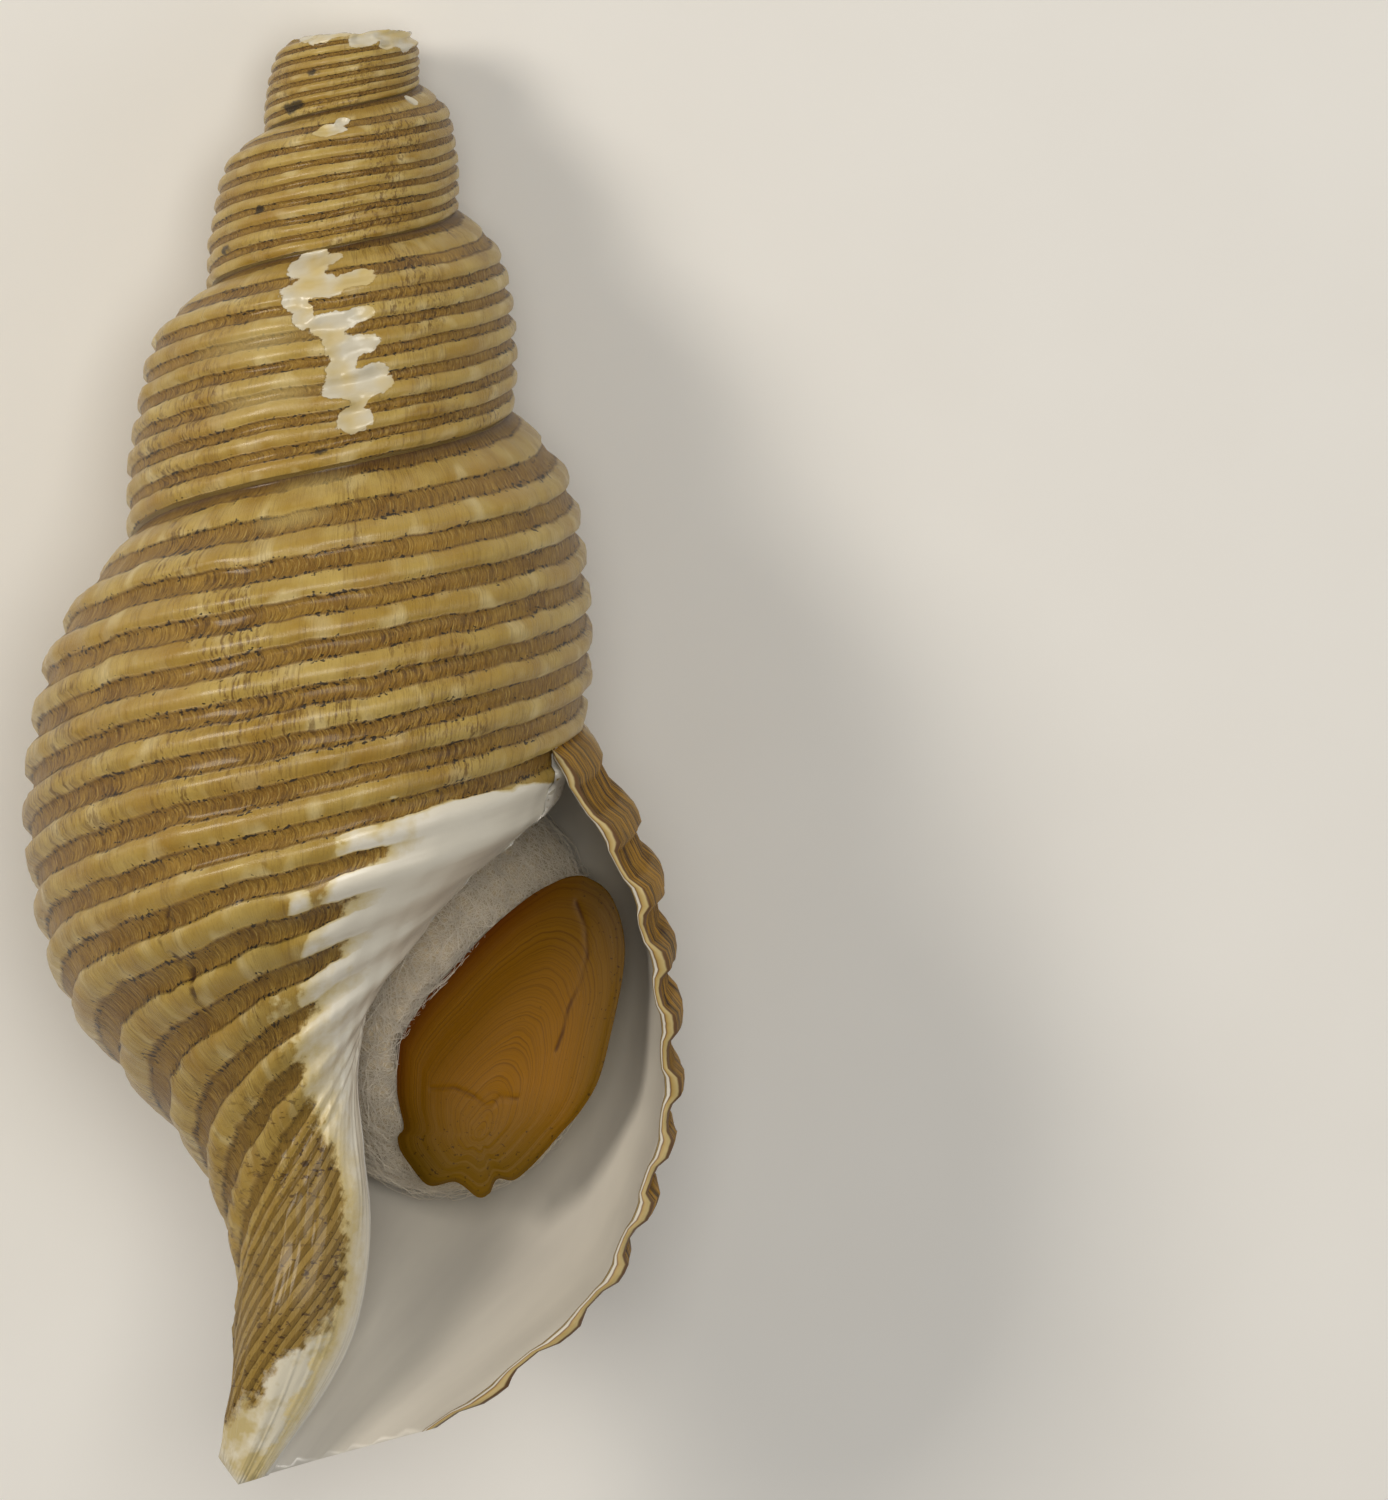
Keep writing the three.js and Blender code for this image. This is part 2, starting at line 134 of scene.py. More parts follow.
@dataclass(frozen=True)
class Coil:
    """The growth law of the shell: radius and place for each turn and drop."""

    seam_drop: float = 58.6
    drop_rate: float = 0.462
    girth_rate: float = 0.31
    girth_early_rate: float = 0.03
    tip_drop: float = 109.9
    bottom_drop: float = 113.0
    seam_reach: float = 3.2
    neck_blend: float = 1.6
    bend_start: float = 84.0
    bend_reach: float = 4.6
    bend_power: float = 2.5
    bend_limit: float = 1.4
    widest: float = 24.0
    lip_azimuth: float = -0.1
    lip_lean: float = 0.42
    lean_turns: float = 0.35
    lean_top: float = 84.0
    lip_profile: Profile = (
        (58.6, 16.7), (63.9, 19.8), (68.8, 22.3), (72.6, 23.2), (76.7, 23.8), (80.2, 24.0), (85.1, 23.9),
        (88.5, 23.1), (91.8, 22.2), (96.8, 20.4), (100.1, 17.8), (103.5, 14.7), (106.9, 11.3), (110.3, 8.4),
        (115.1, 6.2), (119.9, 4.5), (137.0, 1.0), (185.0, 0.4),
    )
    spire_profile: Profile = (
        (58.6, 15.7), (62.0, 19.3), (65.9, 21.6), (72.8, 23.0), (78.3, 23.7), (82.5, 24.1), (89.2, 24.1),
        (93.1, 23.8), (100.3, 22.1), (104.2, 17.6), (108.7, 13.2), (112.7, 9.9), (117.6, 4.6), (123.0, 2.2),
        (137.0, 0.8), (185.0, 0.3),
    )
    neck_profile: Profile = (
        (60.0, 1.2), (82.0, 1.5), (88.0, 2.4), (92.0, 3.3), (99.0, 3.7), (103.0, 3.1), (109.9, 1.0),
        (114.0, 0.5),
    )

    @property
    def next_seam(self) -> float:
        """Own drop at which the following whorl covers this one."""
        return self.seam_drop * math.exp(self.drop_rate)

    def drop_scale(self, turn: Array) -> Array:
        """Height of a whorl against the one at the lip."""
        return np.exp(-self.drop_rate * np.asarray(turn, float))

    def girth_scale(self, turn: Array) -> Array:
        """Girth of a whorl against the one at the lip."""
        turn = np.asarray(turn, float)
        return np.exp(-(self.girth_rate + self.girth_early_rate * turn) * turn)

    def whorl_radius(self, turn: Array, drop: Array) -> Array:
        """Radius of one whorl alone, for turns and drops."""
        own = drop / self.drop_scale(turn)
        spire = np.minimum(1.0, 0.75 * np.maximum(0.0, turn) ** 1.8)
        at_lip = read_profile(self.lip_profile, own)
        at_spire = read_profile(self.spire_profile, own)
        return self.girth_scale(turn) * ((1 - spire) * at_lip + spire * at_spire)

    def smooth_radius(self, turn: Array, drop: Array) -> Array:
        """Radius of the outside without cords.

        Args:
            turn: Whorls back from the lip.
            drop: Distance down the axis.

        Returns:
            Radii from the coiling axis.
        """
        scale = self.drop_scale(turn)
        seam = self.seam_drop * scale
        step = self.whorl_radius(turn + 1, seam) - self.whorl_radius(turn, seam)
        whorl = self.whorl_radius(turn, drop) + step * np.exp(-(drop - seam) / (self.seam_reach * scale))
        neck = read_profile(self.neck_profile, drop)
        return (whorl + neck + np.sqrt((whorl - neck) ** 2 + self.neck_blend**2)) / 2

    def bend(self, drop: Array) -> Array:
        """Offset of the neck's middle from the axis."""
        run = np.maximum(0.0, (drop - self.bend_start) / (self.tip_drop - self.bend_start))
        return -self.bend_reach * np.minimum(self.bend_limit, run) ** self.bend_power

    def azimuth(self, turn: Array, drop: Array) -> Array:
        """Azimuth of the growth line of a turn, which leans forward at the top near the lip."""
        own = drop / self.drop_scale(turn)
        height = np.maximum(0.0, (self.lean_top - own) / (self.lean_top - self.seam_drop))
        fade = np.maximum(0.0, 1 - np.maximum(0.0, turn) / self.lean_turns) ** 2
        return self.lip_azimuth + TAU * turn - self.lip_lean * height * fade

    def place(self, angle: Array, radius: Array, drop: Array) -> Array:
        """Points of the shell's own frame: x to the lip side, y up the axis, z towards the viewer."""
        x = self.bend(drop) + radius * np.cos(angle)
        return np.stack(np.broadcast_arrays(x, self.tip_drop - drop, -radius * np.sin(angle)), axis=-1)

    def along(self, turn: Array) -> Array:
        """Length of the spiral from the lip back to a turn, at the widest girth."""
        rate = self.girth_rate + self.girth_early_rate
        return self.widest * TAU / rate * (1 - np.exp(-rate * np.asarray(turn, float)))


@dataclass(frozen=True)
class Cords:
    """The raised spiral cords, and the finer ones on the neck."""

    start: float = 61.0
    spacing: float = 4.3
    count: int = 14
    fine_spacing: float = 2.5
    fine_end: float = 150.0
    height: float = 0.74
    half_top: float = 0.185
    half_foot: float = 0.325
    spire_gain: float = 0.035
    unevenness: float = 0.22

    def phase(self, own: Array, along: Array) -> Array:
        """Cord number at a place: whole on a cord's middle, and half in a groove's.

        Args:
            own: Drops at the lip's scale.
            along: Lengths along the spiral, over which the cords wander a little.

        Returns:
            Cord numbers.
        """
        broad = (own - self.start) / self.spacing
        edge = self.count - 0.5
        fine = edge + (own - self.start - edge * self.spacing) / self.fine_spacing
        wander = 0.05 * ripple(along * 0.22, own * 0.12, SEED)
        tremble = 0.025 * ripple(along * 0.7, own * 0.3, SEED + 2)
        return np.where(broad < edge, broad, fine) + wander + tremble

    def lift(self, turn: Array, own: Array, along: Array) -> Array:
        """Height of the cords above the groove floor.

        Args:
            turn: Whorls back from the lip.
            own: Drops at the lip's scale.
            along: Lengths along the spiral.

        Returns:
            Heights at the lip's scale.
        """
        phase = self.phase(own, along)
        number = np.round(phase)
        offset = np.abs(phase - number)
        offset = np.maximum(0.0, offset - self.spire_gain * smooth_step(turn, 1.0, 2.0))
        top = 1 - smooth_step(offset, self.half_top, self.half_foot)
        first = np.where(number < 0.5, 0.55, 1.0)
        fine = np.where(phase > self.count - 0.5, 0.42 * (1 - smooth_step(own, 135.0, self.fine_end)), 1.0)
        uneven = 1 + self.unevenness * ripple(along * 0.55, number * 5.3, SEED + 1)
        crown = 1 + 0.12 * (1 - (offset / self.half_top) ** 2) * (offset < self.half_top)
        return self.height * top * first * fine * uneven * crown * (number >= 0)


class Wear(Enum):
    """Kinds of mark that age and damage left on the outside."""

    CHIPPED = "worn"
    GRIME = "grime"
    CRACK = "crack"
    POLISHED = "polish"


@dataclass(frozen=True)
class Mark:
    """One mark on the outside, an oval along the spiral.

    Attributes:
        kind: What made it.
        turn: Its middle, in turns.
        own: Its middle, as an own drop.
        length: Half its length along the spiral.
        width: Half its width across the cords.
    """

    kind: Wear
    turn: float
    own: float
    length: float
    width: float


def marks(kind: Wear, rows: tuple[tuple[float, float, float, float], ...]) -> list[Mark]:
    """Marks of one kind from rows of turn, own drop, half length and half width."""
    return [Mark(kind, *row) for row in rows]


def crack(points: tuple[tuple[float, float], ...], width: float) -> list[Mark]:
    """A healed crack as a chain of small marks.

    Args:
        points: Turn and own drop of each bend of the crack.
        width: Half its width.

    Returns:
        The marks.
    """
    chain = []
    for (turn_a, own_a), (turn_b, own_b) in zip(points, points[1:]):
        steps = max(2, int(abs(own_b - own_a) / 0.5))
        for step in range(steps):
            share = step / steps
            turn = turn_a + (turn_b - turn_a) * share
            chain.append(Mark(Wear.CRACK, turn, own_a + (own_b - own_a) * share, width, 0.5))
    return chain


MARKS: list[Mark] = [
    *marks(Wear.CHIPPED, (
        (1.728, 60.4, 1.8, 1.0), (1.752, 60.4, 1.0, 0.4), (1.740, 64.4, 2.5, 0.8), (1.776, 64.2, 2.0, 0.5),
        (1.724, 65.8, 1.0, 1.0), (1.732, 68.8, 0.8, 1.0), (1.756, 70.6, 1.8, 0.8), (1.780, 69.8, 1.2, 0.5),
        (1.760, 72.9, 0.8, 0.7), (1.776, 74.6, 1.8, 0.8), (1.768, 77.8, 1.0, 0.8), (1.796, 79.6, 1.0, 0.8),
        (1.780, 80.7, 2.3, 1.0), (1.784, 83.0, 0.7, 0.7), (1.780, 86.0, 1.2, 0.9), (1.512, 68.3, 1.1, 1.0),
        (1.528, 65.1, 0.9, 0.7), (2.736, 64.1, 1.4, 0.4), (2.756, 62.4, 0.8, 0.3), (2.904, 60.3, 0.6, 0.3),
        (0.316, 95.0, 2.0, 0.5), (0.345, 94.7, 2.4, 0.7), (0.375, 94.6, 2.2, 0.8), (0.398, 94.5, 1.2, 1.1),
        (0.392, 98.9, 0.9, 0.6), (2.332, 77.9, 0.9, 0.6), (1.424, 66.4, 1.0, 0.5), (3.304, 78.6, 0.4, 0.4),
        (3.796, 67.0, 1.5, 0.6), (3.856, 70.0, 0.9, 0.5), (3.660, 63.5, 0.5, 0.3),
    )),
    *marks(Wear.POLISHED, (
        (1.688, 71.3, 6.0, 1.7), (1.704, 80.1, 5.0, 1.6), (0.748, 59.6, 5.0, 1.2), (0.736, 62.8, 4.0, 0.8),
    )),
    *marks(Wear.GRIME, (
        (1.756, 90.2, 0.8, 0.5), (3.640, 88.4, 1.6, 0.5), (3.684, 77.3, 0.9, 0.4), (2.648, 80.4, 0.7, 0.3),
        (2.588, 87.3, 1.2, 0.5), (0.790, 98.9, 1.6, 0.3), (1.240, 75.5, 3.6, 0.6), (1.285, 75.4, 3.8, 0.6),
        (0.240, 79.8, 2.8, 0.7), (0.262, 79.2, 2.0, 0.5), (0.376, 91.8, 1.2, 0.7), (0.056, 99.5, 1.2, 0.9),
        (0.216, 109.4, 1.0, 0.9), (2.296, 62.3, 1.2, 0.6), (2.300, 77.0, 1.0, 0.6), (0.660, 97.6, 0.9, 0.6),
    )),
    *crack((
        (0.180, 95.5), (0.188, 99.6), (0.180, 104.0), (0.172, 107.0), (0.166, 110.4), (0.176, 114.0),
    ), 0.45),
    *crack(((0.238, 87.0), (0.246, 88.4), (0.240, 90.2)), 0.35),
    *crack(((0.662, 96.8), (0.648, 99.5), (0.658, 102.0), (0.645, 105.0), (0.648, 108.0)), 0.4),
    *crack(((1.390, 80.5), (1.402, 83.5), (1.398, 87.0)), 0.4),
]


@dataclass(frozen=True)
class Resting:
    """How the shell's own frame lies in the row frame."""

    pitch: float = -0.281

    def turned(self, points: Array) -> Array:
        """Points of the shell's frame, pitched but not yet moved."""
        c, s = math.cos(self.pitch), math.sin(self.pitch)
        x, y, z = points[..., 0], points[..., 1], points[..., 2]
        return np.stack([x, y * c - z * s, y * s + z * c], axis=-1)


def object_from(name: str, points: Array, faces: list,
                attributes: dict[str, Array] | None = None) -> bpy.types.Object:
    """Makes an object from points in metres.

    Args:
        name: The piece's name.
        points: Corners, in metres.
        faces: Corner numbers of each face.
        attributes: Values of each corner, by name: one number or three.

    Returns:
        The linked object.
    """
    mesh = bpy.data.meshes.new(name)
    mesh.from_pydata(points.tolist(), [], faces)
    for key, values in (attributes or {}).items():
        kind = "FLOAT_VECTOR" if values.ndim == 2 else "FLOAT"
        layer = mesh.attributes.new(key, kind, "POINT")
        layer.data.foreach_set("vector" if values.ndim == 2 else "value", values.astype(np.float32).ravel())
    mesh.validate()
    thing = bpy.data.objects.new(name, mesh)
    bpy.context.scene.collection.objects.link(thing)
    return thing


def shade_smooth(thing: bpy.types.Object) -> None:
    """Shades a mesh smooth."""
    thing.data.polygons.foreach_set("use_smooth", [True] * len(thing.data.polygons))


def linear(hex_colour: str, alpha: float = 1.0) -> tuple[float, float, float, float]:
    """Turns an sRGB hex colour to linear light.

    Args:
        hex_colour: Six hex digits.
        alpha: Opacity.

    Returns:
        Red, green, blue and alpha.
    """
    parts = [int(hex_colour[i:i + 2], 16) / 255 for i in (0, 2, 4)]
    light = [p / 12.92 if p <= 0.04045 else ((p + 0.055) / 1.055) ** 2.4 for p in parts]
    return (light[0], light[1], light[2], alpha)


Socket = bpy.types.NodeSocket
Add = Callable[..., Socket]


def add_node(tree: bpy.types.NodeTree, kind: str, inputs: list | dict | None = None,
             out: int | str | None = 0, **settings: object) -> Socket | None:
    """Adds a node with its settings and links.

    Args:
        tree: The material's nodes.
        kind: The node's type, without its ShaderNode prefix.
        inputs: Value, sRGB hex colour or linked output of each input, in order or by name or number.
        out: Name or number of the output to return, or None for a node that has none.
        settings: Attributes of the node.

    Returns:
        The output.
    """
    node = tree.nodes.new("ShaderNode" + kind)
    for key, value in settings.items():
        setattr(node, key, value)
    pairs = inputs.items() if isinstance(inputs, dict) else enumerate(inputs or [])
    for key, value in pairs:
        if isinstance(value, Socket):
            tree.links.new(value, node.inputs[key])
        else:
            node.inputs[key].default_value = linear(value) if isinstance(value, str) else value
    return None if out is None else node.outputs[out]


def new_material(name: str) -> tuple[bpy.types.Material, Add]:
    """Makes an empty material.

    Args:
        name: The material's name.

    Returns:
        The material and the function that adds nodes to it.
    """
    material = bpy.data.materials.new(name)
    material.use_nodes = True
    material.node_tree.nodes.clear()
    return material, partial(add_node, material.node_tree)


@dataclass(frozen=True)
class Grain:
    """A random pattern of a real size.

    Attributes:
        density: Features per unit of each coordinate: per millimetre along, per cord across and per
            millimetre down.
        detail: How many finer layers it has.
        roughness: How strong the finer layers are.
    """

    density: tuple[float, float, float]
    detail: float = 2.0
    roughness: float = 0.5

    def on(self, add: Add, place: Socket) -> Socket:
        """Lays the pattern on coordinates.

        Args:
            add: Adds nodes to the material.
            place: The coordinates.

        Returns:
            Values around 0.5.
        """
        scaled = add("VectorMath", [place, self.density], operation="MULTIPLY")
        return add("TexNoise", {
            "Vector": scaled, "Scale": 1.0, "Detail": self.detail, "Roughness": self.roughness,
        })


@dataclass(frozen=True)
class CordedShellFinish:
    """Aragonite shell, grown in layers, weathered outside.

    Cords are worn waxy and honey pale, grooves keep brown growth lamellae, and the inner lip is glazed
    white. A MapRange list holds the value, its low and high, and the result at each.
    """

    straw: str = "A98938"
    cream: str = "C0A55A"
    # Milk also paints highlights, as the cords' milky windows.
    milk: str = "D0BB80"
    honey: str = "9C7320"
    groove: str = "A98331"
    groove_deep: str = "8E681F"
    flake: str = "C7A657"
    lamella: str = "452706"
    edge: str = "60400F"
    speck: str = "1A120A"
    # Brown of old stain, also laid on as painted shade beside the mouth.
    stain_and_shade: str = "573109"
    skin_dark: str = "321800"
    skin_light: str = "BD8A14"
    chalk: str = "D6CFBB"
    tan: str = "B7A468"
    glaze: str = "EBE5D5"
    glaze_edge: str = "D3BF83"
    waver: Grain = Grain((0.6, 2.0, 0.0), 4.0)
    broad: Grain = Grain((0.13, 0.3, 0.0), 2.0)
    ragged: Grain = Grain((700.0, 700.0, 700.0), 6.0, 0.62)
    blotches: Grain = Grain((260.0, 260.0, 260.0), 4.0, 0.6)
    neck_flecks: Grain = Grain((1500.0, 2600.0, 1500.0), 3.0, 0.6)
    hair_lines: Grain = Grain((7.4, 2.4, 0.0), 3.0, 0.74)
    flames: Grain = Grain((3.4, 2.2, 0.0), 5.0, 0.74)
    mottle: Grain = Grain((0.3, 0.9, 0.0), 2.0)
    windows_and_highlights: Grain = Grain((0.42, 1.0, 0.0), 1.0)
    honey_patches: Grain = Grain((0.16, 0.7, 0.0), 2.0)
    specks: Grain = Grain((3.0, 12.0, 0.0), 2.0)
    clumps: Grain = Grain((0.3, 0.8, 0.0), 2.0)
    growth_breaks: Grain = Grain((0.32, 0.06, 0.0), 5.0, 0.7)
    lip_skin: Grain = Grain((1.7, 0.45, 0.0), 6.0, 0.76)
    last_whorl_along: tuple[float, float] = (128.0, 219.0)

    def cord_colour(self, add: Add, spiral: Socket, mottle: Socket, lamella: Socket,
                    streaks: Socket) -> Socket:
        """Colours the cords: straw with cream, milky windows that are partly painted highlights, faint
        cross lines, and streaks of dirt that beside the mouth carry painted shade too.

        Args:
            add: Adds nodes to the material.
            spiral: Coordinates along the spiral.
            mottle: Broad pattern.
            lamella: Where a growth line is.
            streaks: Where dirt crosses the cords, stronger beside the mouth where painted shade is added.

        Returns:
            The colour.
        """
        cord = self.straw
        for level, tint in (
            (add("MapRange", [mottle, 0.32, 0.66, 0.0, 1.0]), self.cream),
            # Milky windows: pale patches on the cords, partly painted highlights of their waxy gloss.
            (add("MapRange", [self.windows_and_highlights.on(add, spiral), 0.55, 0.68, 0.0, 0.85]), self.milk),
            (add("MapRange", [self.honey_patches.on(add, spiral), 0.45, 0.7, 0.0, 0.55]), self.honey),
            (add("Math", [lamella, 0.11], operation="MULTIPLY"), self.edge),
            (streaks, self.edge),
        ):
            cord = add("Mix", {0: level, 6: cord, 7: tint}, out=2, data_type="RGBA")
        return cord

    def groove_colour(self, add: Add, mottle: Socket, hair: Socket, lamella: Socket, flame: Socket) -> Socket:
        """Colours the grooves: ochre, pale flakes, brown hair lines, and flames where dirt was caught,
        deepened beside the mouth by painted shade.

        Args:
            add: Adds nodes to the material.
            mottle: Broad pattern.
            hair: Pattern of the growth lines.
            lamella: Where a growth line is.
            flame: Where dirt was caught, stronger beside the mouth where painted shade is added.

        Returns:
            The colour.
        """
        flake = add("MapRange", [hair, 0.46, 0.36, 0.0, 1.0])
        groove = self.groove
        for level, tint in (
            (add("MapRange", [mottle, 0.35, 0.65, 0.0, 1.0]), self.groove_deep),
            (add("Math", [flake, 0.75], operation="MULTIPLY"), self.flake),
            (add("Math", [lamella, 0.5], operation="MULTIPLY"), self.lamella),
            (add("Math", [flame, 0.75], operation="MULTIPLY"), self.lamella),
        ):
            groove = add("Mix", {0: level, 6: groove, 7: tint}, out=2, data_type="RGBA")
        return groove

    def material(self) -> bpy.types.Material:
        """Builds the material.

        Returns:
            The material for the outside of the shell.
        """
        material, add = new_material("aragonite_shell_grown_and_weathered")
        spiral = add("Attribute", out="Vector", attribute_name="spiral")
        along = add("SeparateXYZ", [spiral], out=0)
        phase = add("SeparateXYZ", [spiral], out=1)
        below = add("SeparateXYZ", [spiral], out=2)
        glazed, worn, grimy, cracked, aged_and_shaded, polished, tip, lip = (
            add("Attribute", out="Fac", attribute_name=name) for name in FIELDS if name != "rim"
        )

        # Distance from a cord's middle, in cord spacings, with edges that waver along the cord. The spire's
        # grooves are narrower than those of the last whorl.
        share = add("Math", [add("Math", [phase, 0.5], operation="ADD")], operation="FRACT")
        offset = add("Math", [add("Math", [share, 0.5], operation="SUBTRACT")], operation="ABSOLUTE")
        wavered = add("Math", [self.waver.on(add, spiral), 0.12, offset], operation="MULTIPLY_ADD")
        narrower = add("MapRange", [along, *self.last_whorl_along, 0.0, 0.035])
        wavered = add("Math", [wavered, narrower], operation="SUBTRACT")
        top = add("MapRange", [wavered, 0.29, 0.37, 1.0, 0.0])
        broad = self.broad.on(add, spiral)
        solid = add("TexCoord", out="Object")
        ragged = self.ragged.on(add, solid)
        blotch = self.blotches.on(add, solid)
        mottle = self.mottle.on(add, spiral)
        clump = self.clumps.on(add, spiral)

        # Growth lamellae cross the grooves as hair lines, bowed between two cords. The real ones lie about
        # 0.1 mm apart, and these are drawn a little coarser so that they still show.
        inside = add("Math", [add("Math", [0.5, offset], operation="SUBTRACT"), 0.22], operation="MINIMUM")
        bow = add("Math", [inside, inside], operation="MULTIPLY")
        bowed = add("Math", [bow, 6.5, along], operation="MULTIPLY_ADD")
        crossing = add("CombineXYZ", [bowed, phase, below])
        hair = self.hair_lines.on(add, crossing)
        lamella = add("MapRange", [hair, 0.54, 0.63, 0.0, 1.0])
        flame_noise = self.flames.on(add, crossing)
        # Dirt with the age field, which beside the mouth is partly painted shade; it strengthens flames and
        # streaks.
        dirt_and_shade = add("Math", [add("MapRange", [broad, 0.44, 0.62, 0.0, 1.0]), aged_and_shaded], operation="MAXIMUM")
        flame = add("MapRange", [flame_noise, 0.5, 0.58, 0.0, 1.0])
        flame = add("Math", [flame, add("MapRange", [dirt_and_shade, 0.0, 1.0, 0.22, 1.0])], operation="MULTIPLY")

        streaks = add("Math", [flame, add("MapRange", [dirt_and_shade, 0.3, 1.0, 0.1, 0.72])], operation="MULTIPLY")
        cord = self.cord_colour(add, spiral, mottle, lamella, streaks)
        groove = self.groove_colour(add, mottle, hair, lamella, flame)

        # A thin brown line at each cord's edge, broken, with dark specks caught along it.
        near_edge = add("Math", [add("Math", [wavered, 0.35], operation="SUBTRACT")], operation="ABSOLUTE")
        line = add("MapRange", [near_edge, 0.0, 0.045, 1.0, 0.0])
        line = add("Math", [line, add("MapRange", [mottle, 0.3, 0.6, 0.85, 0.3])], operation="MULTIPLY")
        speck = add("Math", [clump, 0.42, self.specks.on(add, spiral)], operation="MULTIPLY_ADD")
        away = add("MapRange", [near_edge, 0.015, 0.15, 0.0, 0.22])
        speck = add("Math", [speck, away], operation="SUBTRACT")
        speck = add("MapRange", [speck, 0.765, 0.80, 0.0, 0.9])

        # Growth breaks run across all cords, and by the lip the whole skin is brown lamellae.
        growth_break = add("Math", [self.growth_breaks.on(add, spiral), 0.56], operation="SUBTRACT")
        growth_break = add("Math", [growth_break], operation="ABSOLUTE")
        growth_break = add("MapRange", [growth_break, 0.0, 0.014, 0.28, 0.0])
        skin_noise = self.lip_skin.on(add, spiral)
        level = add("MapRange", [skin_noise, 0.42, 0.58, 0.0, 1.0])
        skin = add("Mix", {0: level, 6: self.skin_dark, 7: self.skin_light}, out=2, data_type="RGBA")

        # Places worn smooth, old brown stain (beside the mouth partly painted shade), flecks on the neck,
        # grime and cracks.
        smooth = add("Mix", {0: mottle, 6: self.cream, 7: self.milk}, out=2, data_type="RGBA")
        rubbed = add("Math", [ragged, 0.8, polished], operation="MULTIPLY_ADD")
        rubbed = add("MapRange", [rubbed, 0.4, 1.1, 0.0, 0.6])
        stained_and_shaded = add("Math", [flame_noise, blotch], operation="ADD")
        stained_and_shaded = add("Math", [aged_and_shaded, stained_and_shaded], operation="MULTIPLY")
        stained_and_shaded = add("MapRange", [stained_and_shaded, 0.42, 1.2, 0.0, 0.8])
        fleck = add("MapRange", [self.neck_flecks.on(add, solid), 0.56, 0.62, 0.0, 0.85])
        fleck = add("Math", [fleck, add("MapRange", [blotch, 0.4, 0.55, 0.25, 1.0])], operation="MULTIPLY")
        fleck = add("Math", [fleck, add("MapRange", [below, 48.0, 62.0, 0.0, 1.0])], operation="MULTIPLY")
        grime = add("Math", [ragged, 3.2, grimy], operation="MULTIPLY_ADD")
        grime = add("MapRange", [grime, 1.85, 2.25, 0.0, 0.85])
        split = add("Math", [ragged, 0.9, cracked], operation="MULTIPLY_ADD")
        split = add("MapRange", [split, 0.7, 1.1, 0.0, 0.8])

        # Chalky chips with ragged edges, and the worn tip of the canal, cream with tan patches.
        chip = add("Math", [ragged, 1.5, worn], operation="MULTIPLY_ADD")
        chip = add("MapRange", [chip, 0.66, 0.73, 0.0, 1.0])
        level = add("MapRange", [clump, 0.4, 0.62, 0.0, 1.0])
        chalk = add("Mix", {0: level, 6: self.chalk, 7: self.milk}, out=2, data_type="RGBA")
        bare_tip = add("Math", [ragged, 4.0, tip], operation="MULTIPLY_ADD")
        bare_tip = add("MapRange", [bare_tip, 1.9, 2.7, 0.0, 1.0])
        level = add("MapRange", [blotch, 0.5, 0.62, 0.0, 0.85])
        cream_tip = add("Mix", {0: level, 6: self.chalk, 7: self.tan}, out=2, data_type="RGBA")

        # The porcelain glaze of the inner lip creeps furthest along the cords, and is yellow at its edge.
        creep = add("Math", [top, add("MapRange", [below, 42.0, 56.0, 3.2, 0.0])], operation="MULTIPLY")
        creep = add("Math", [creep, add("MapRange", [clump, 0.3, 0.6, 0.2, 1.6])], operation="MULTIPLY")
        creep = add("Math", [glazed, creep], operation="ADD")
        creep = add("Math", [ragged, 3.6, creep], operation="MULTIPLY_ADD")
        glaze = add("MapRange", [creep, 1.7, 2.25, 0.0, 1.0])
        level = add("MapRange", [creep, 2.0, 4.2, 0.0, 1.0])
        china = add("Mix", {0: level, 6: self.glaze_edge, 7: self.glaze}, out=2, data_type="RGBA")

        # All of these lie over each other in this order.
        colour = groove
        for level, tint in (
            (top, cord),
            (line, self.edge),
            (speck, self.speck),
            (growth_break, self.edge),
            (add("MapRange", [lip, 0.1, 0.7, 0.0, 0.9]), skin),
            (rubbed, smooth),
            # Brown stain, beside the mouth partly painted shade.
            (stained_and_shaded, self.stain_and_shade),
            # Painted shade in the crease along the suture, over its real brown fringe: lamella brown just
            # below the seam.
            (add("MapRange", [below, 0.0, 1.1, 0.75, 0.0]), self.lamella),
            (add("MapRange", [below, 50.0, 64.0, 0.0, 0.55]), self.straw),
            (fleck, self.lamella),
            (grime, self.speck),
            (split, self.lamella),
            (chip, chalk),
            (bare_tip, cream_tip),
            (glaze, china),
        ):
            colour = add("Mix", {0: level, 6: colour, 7: tint}, out=2, data_type="RGBA")
        bare = add("Math", [glaze, add("Math", [chip, bare_tip], operation="MAXIMUM")], operation="MAXIMUM")

        # The cords shine like wax, the grooves are dull, and glaze and chips shine like china.
        rough = add("MapRange", [top, 0.0, 1.0, 0.56, 0.33])
        rough = add("Math", [stained_and_shaded, 0.2, rough], operation="MULTIPLY_ADD")
        rough = add("Mix", {0: bare, 2: rough, 3: 0.27})
        rough = add("Math", [lip, 0.3, rough], operation="MULTIPLY_ADD", use_clamp=True)
        coat = add("MapRange", [lip, 0.0, 0.4, 0.25, 0.0])

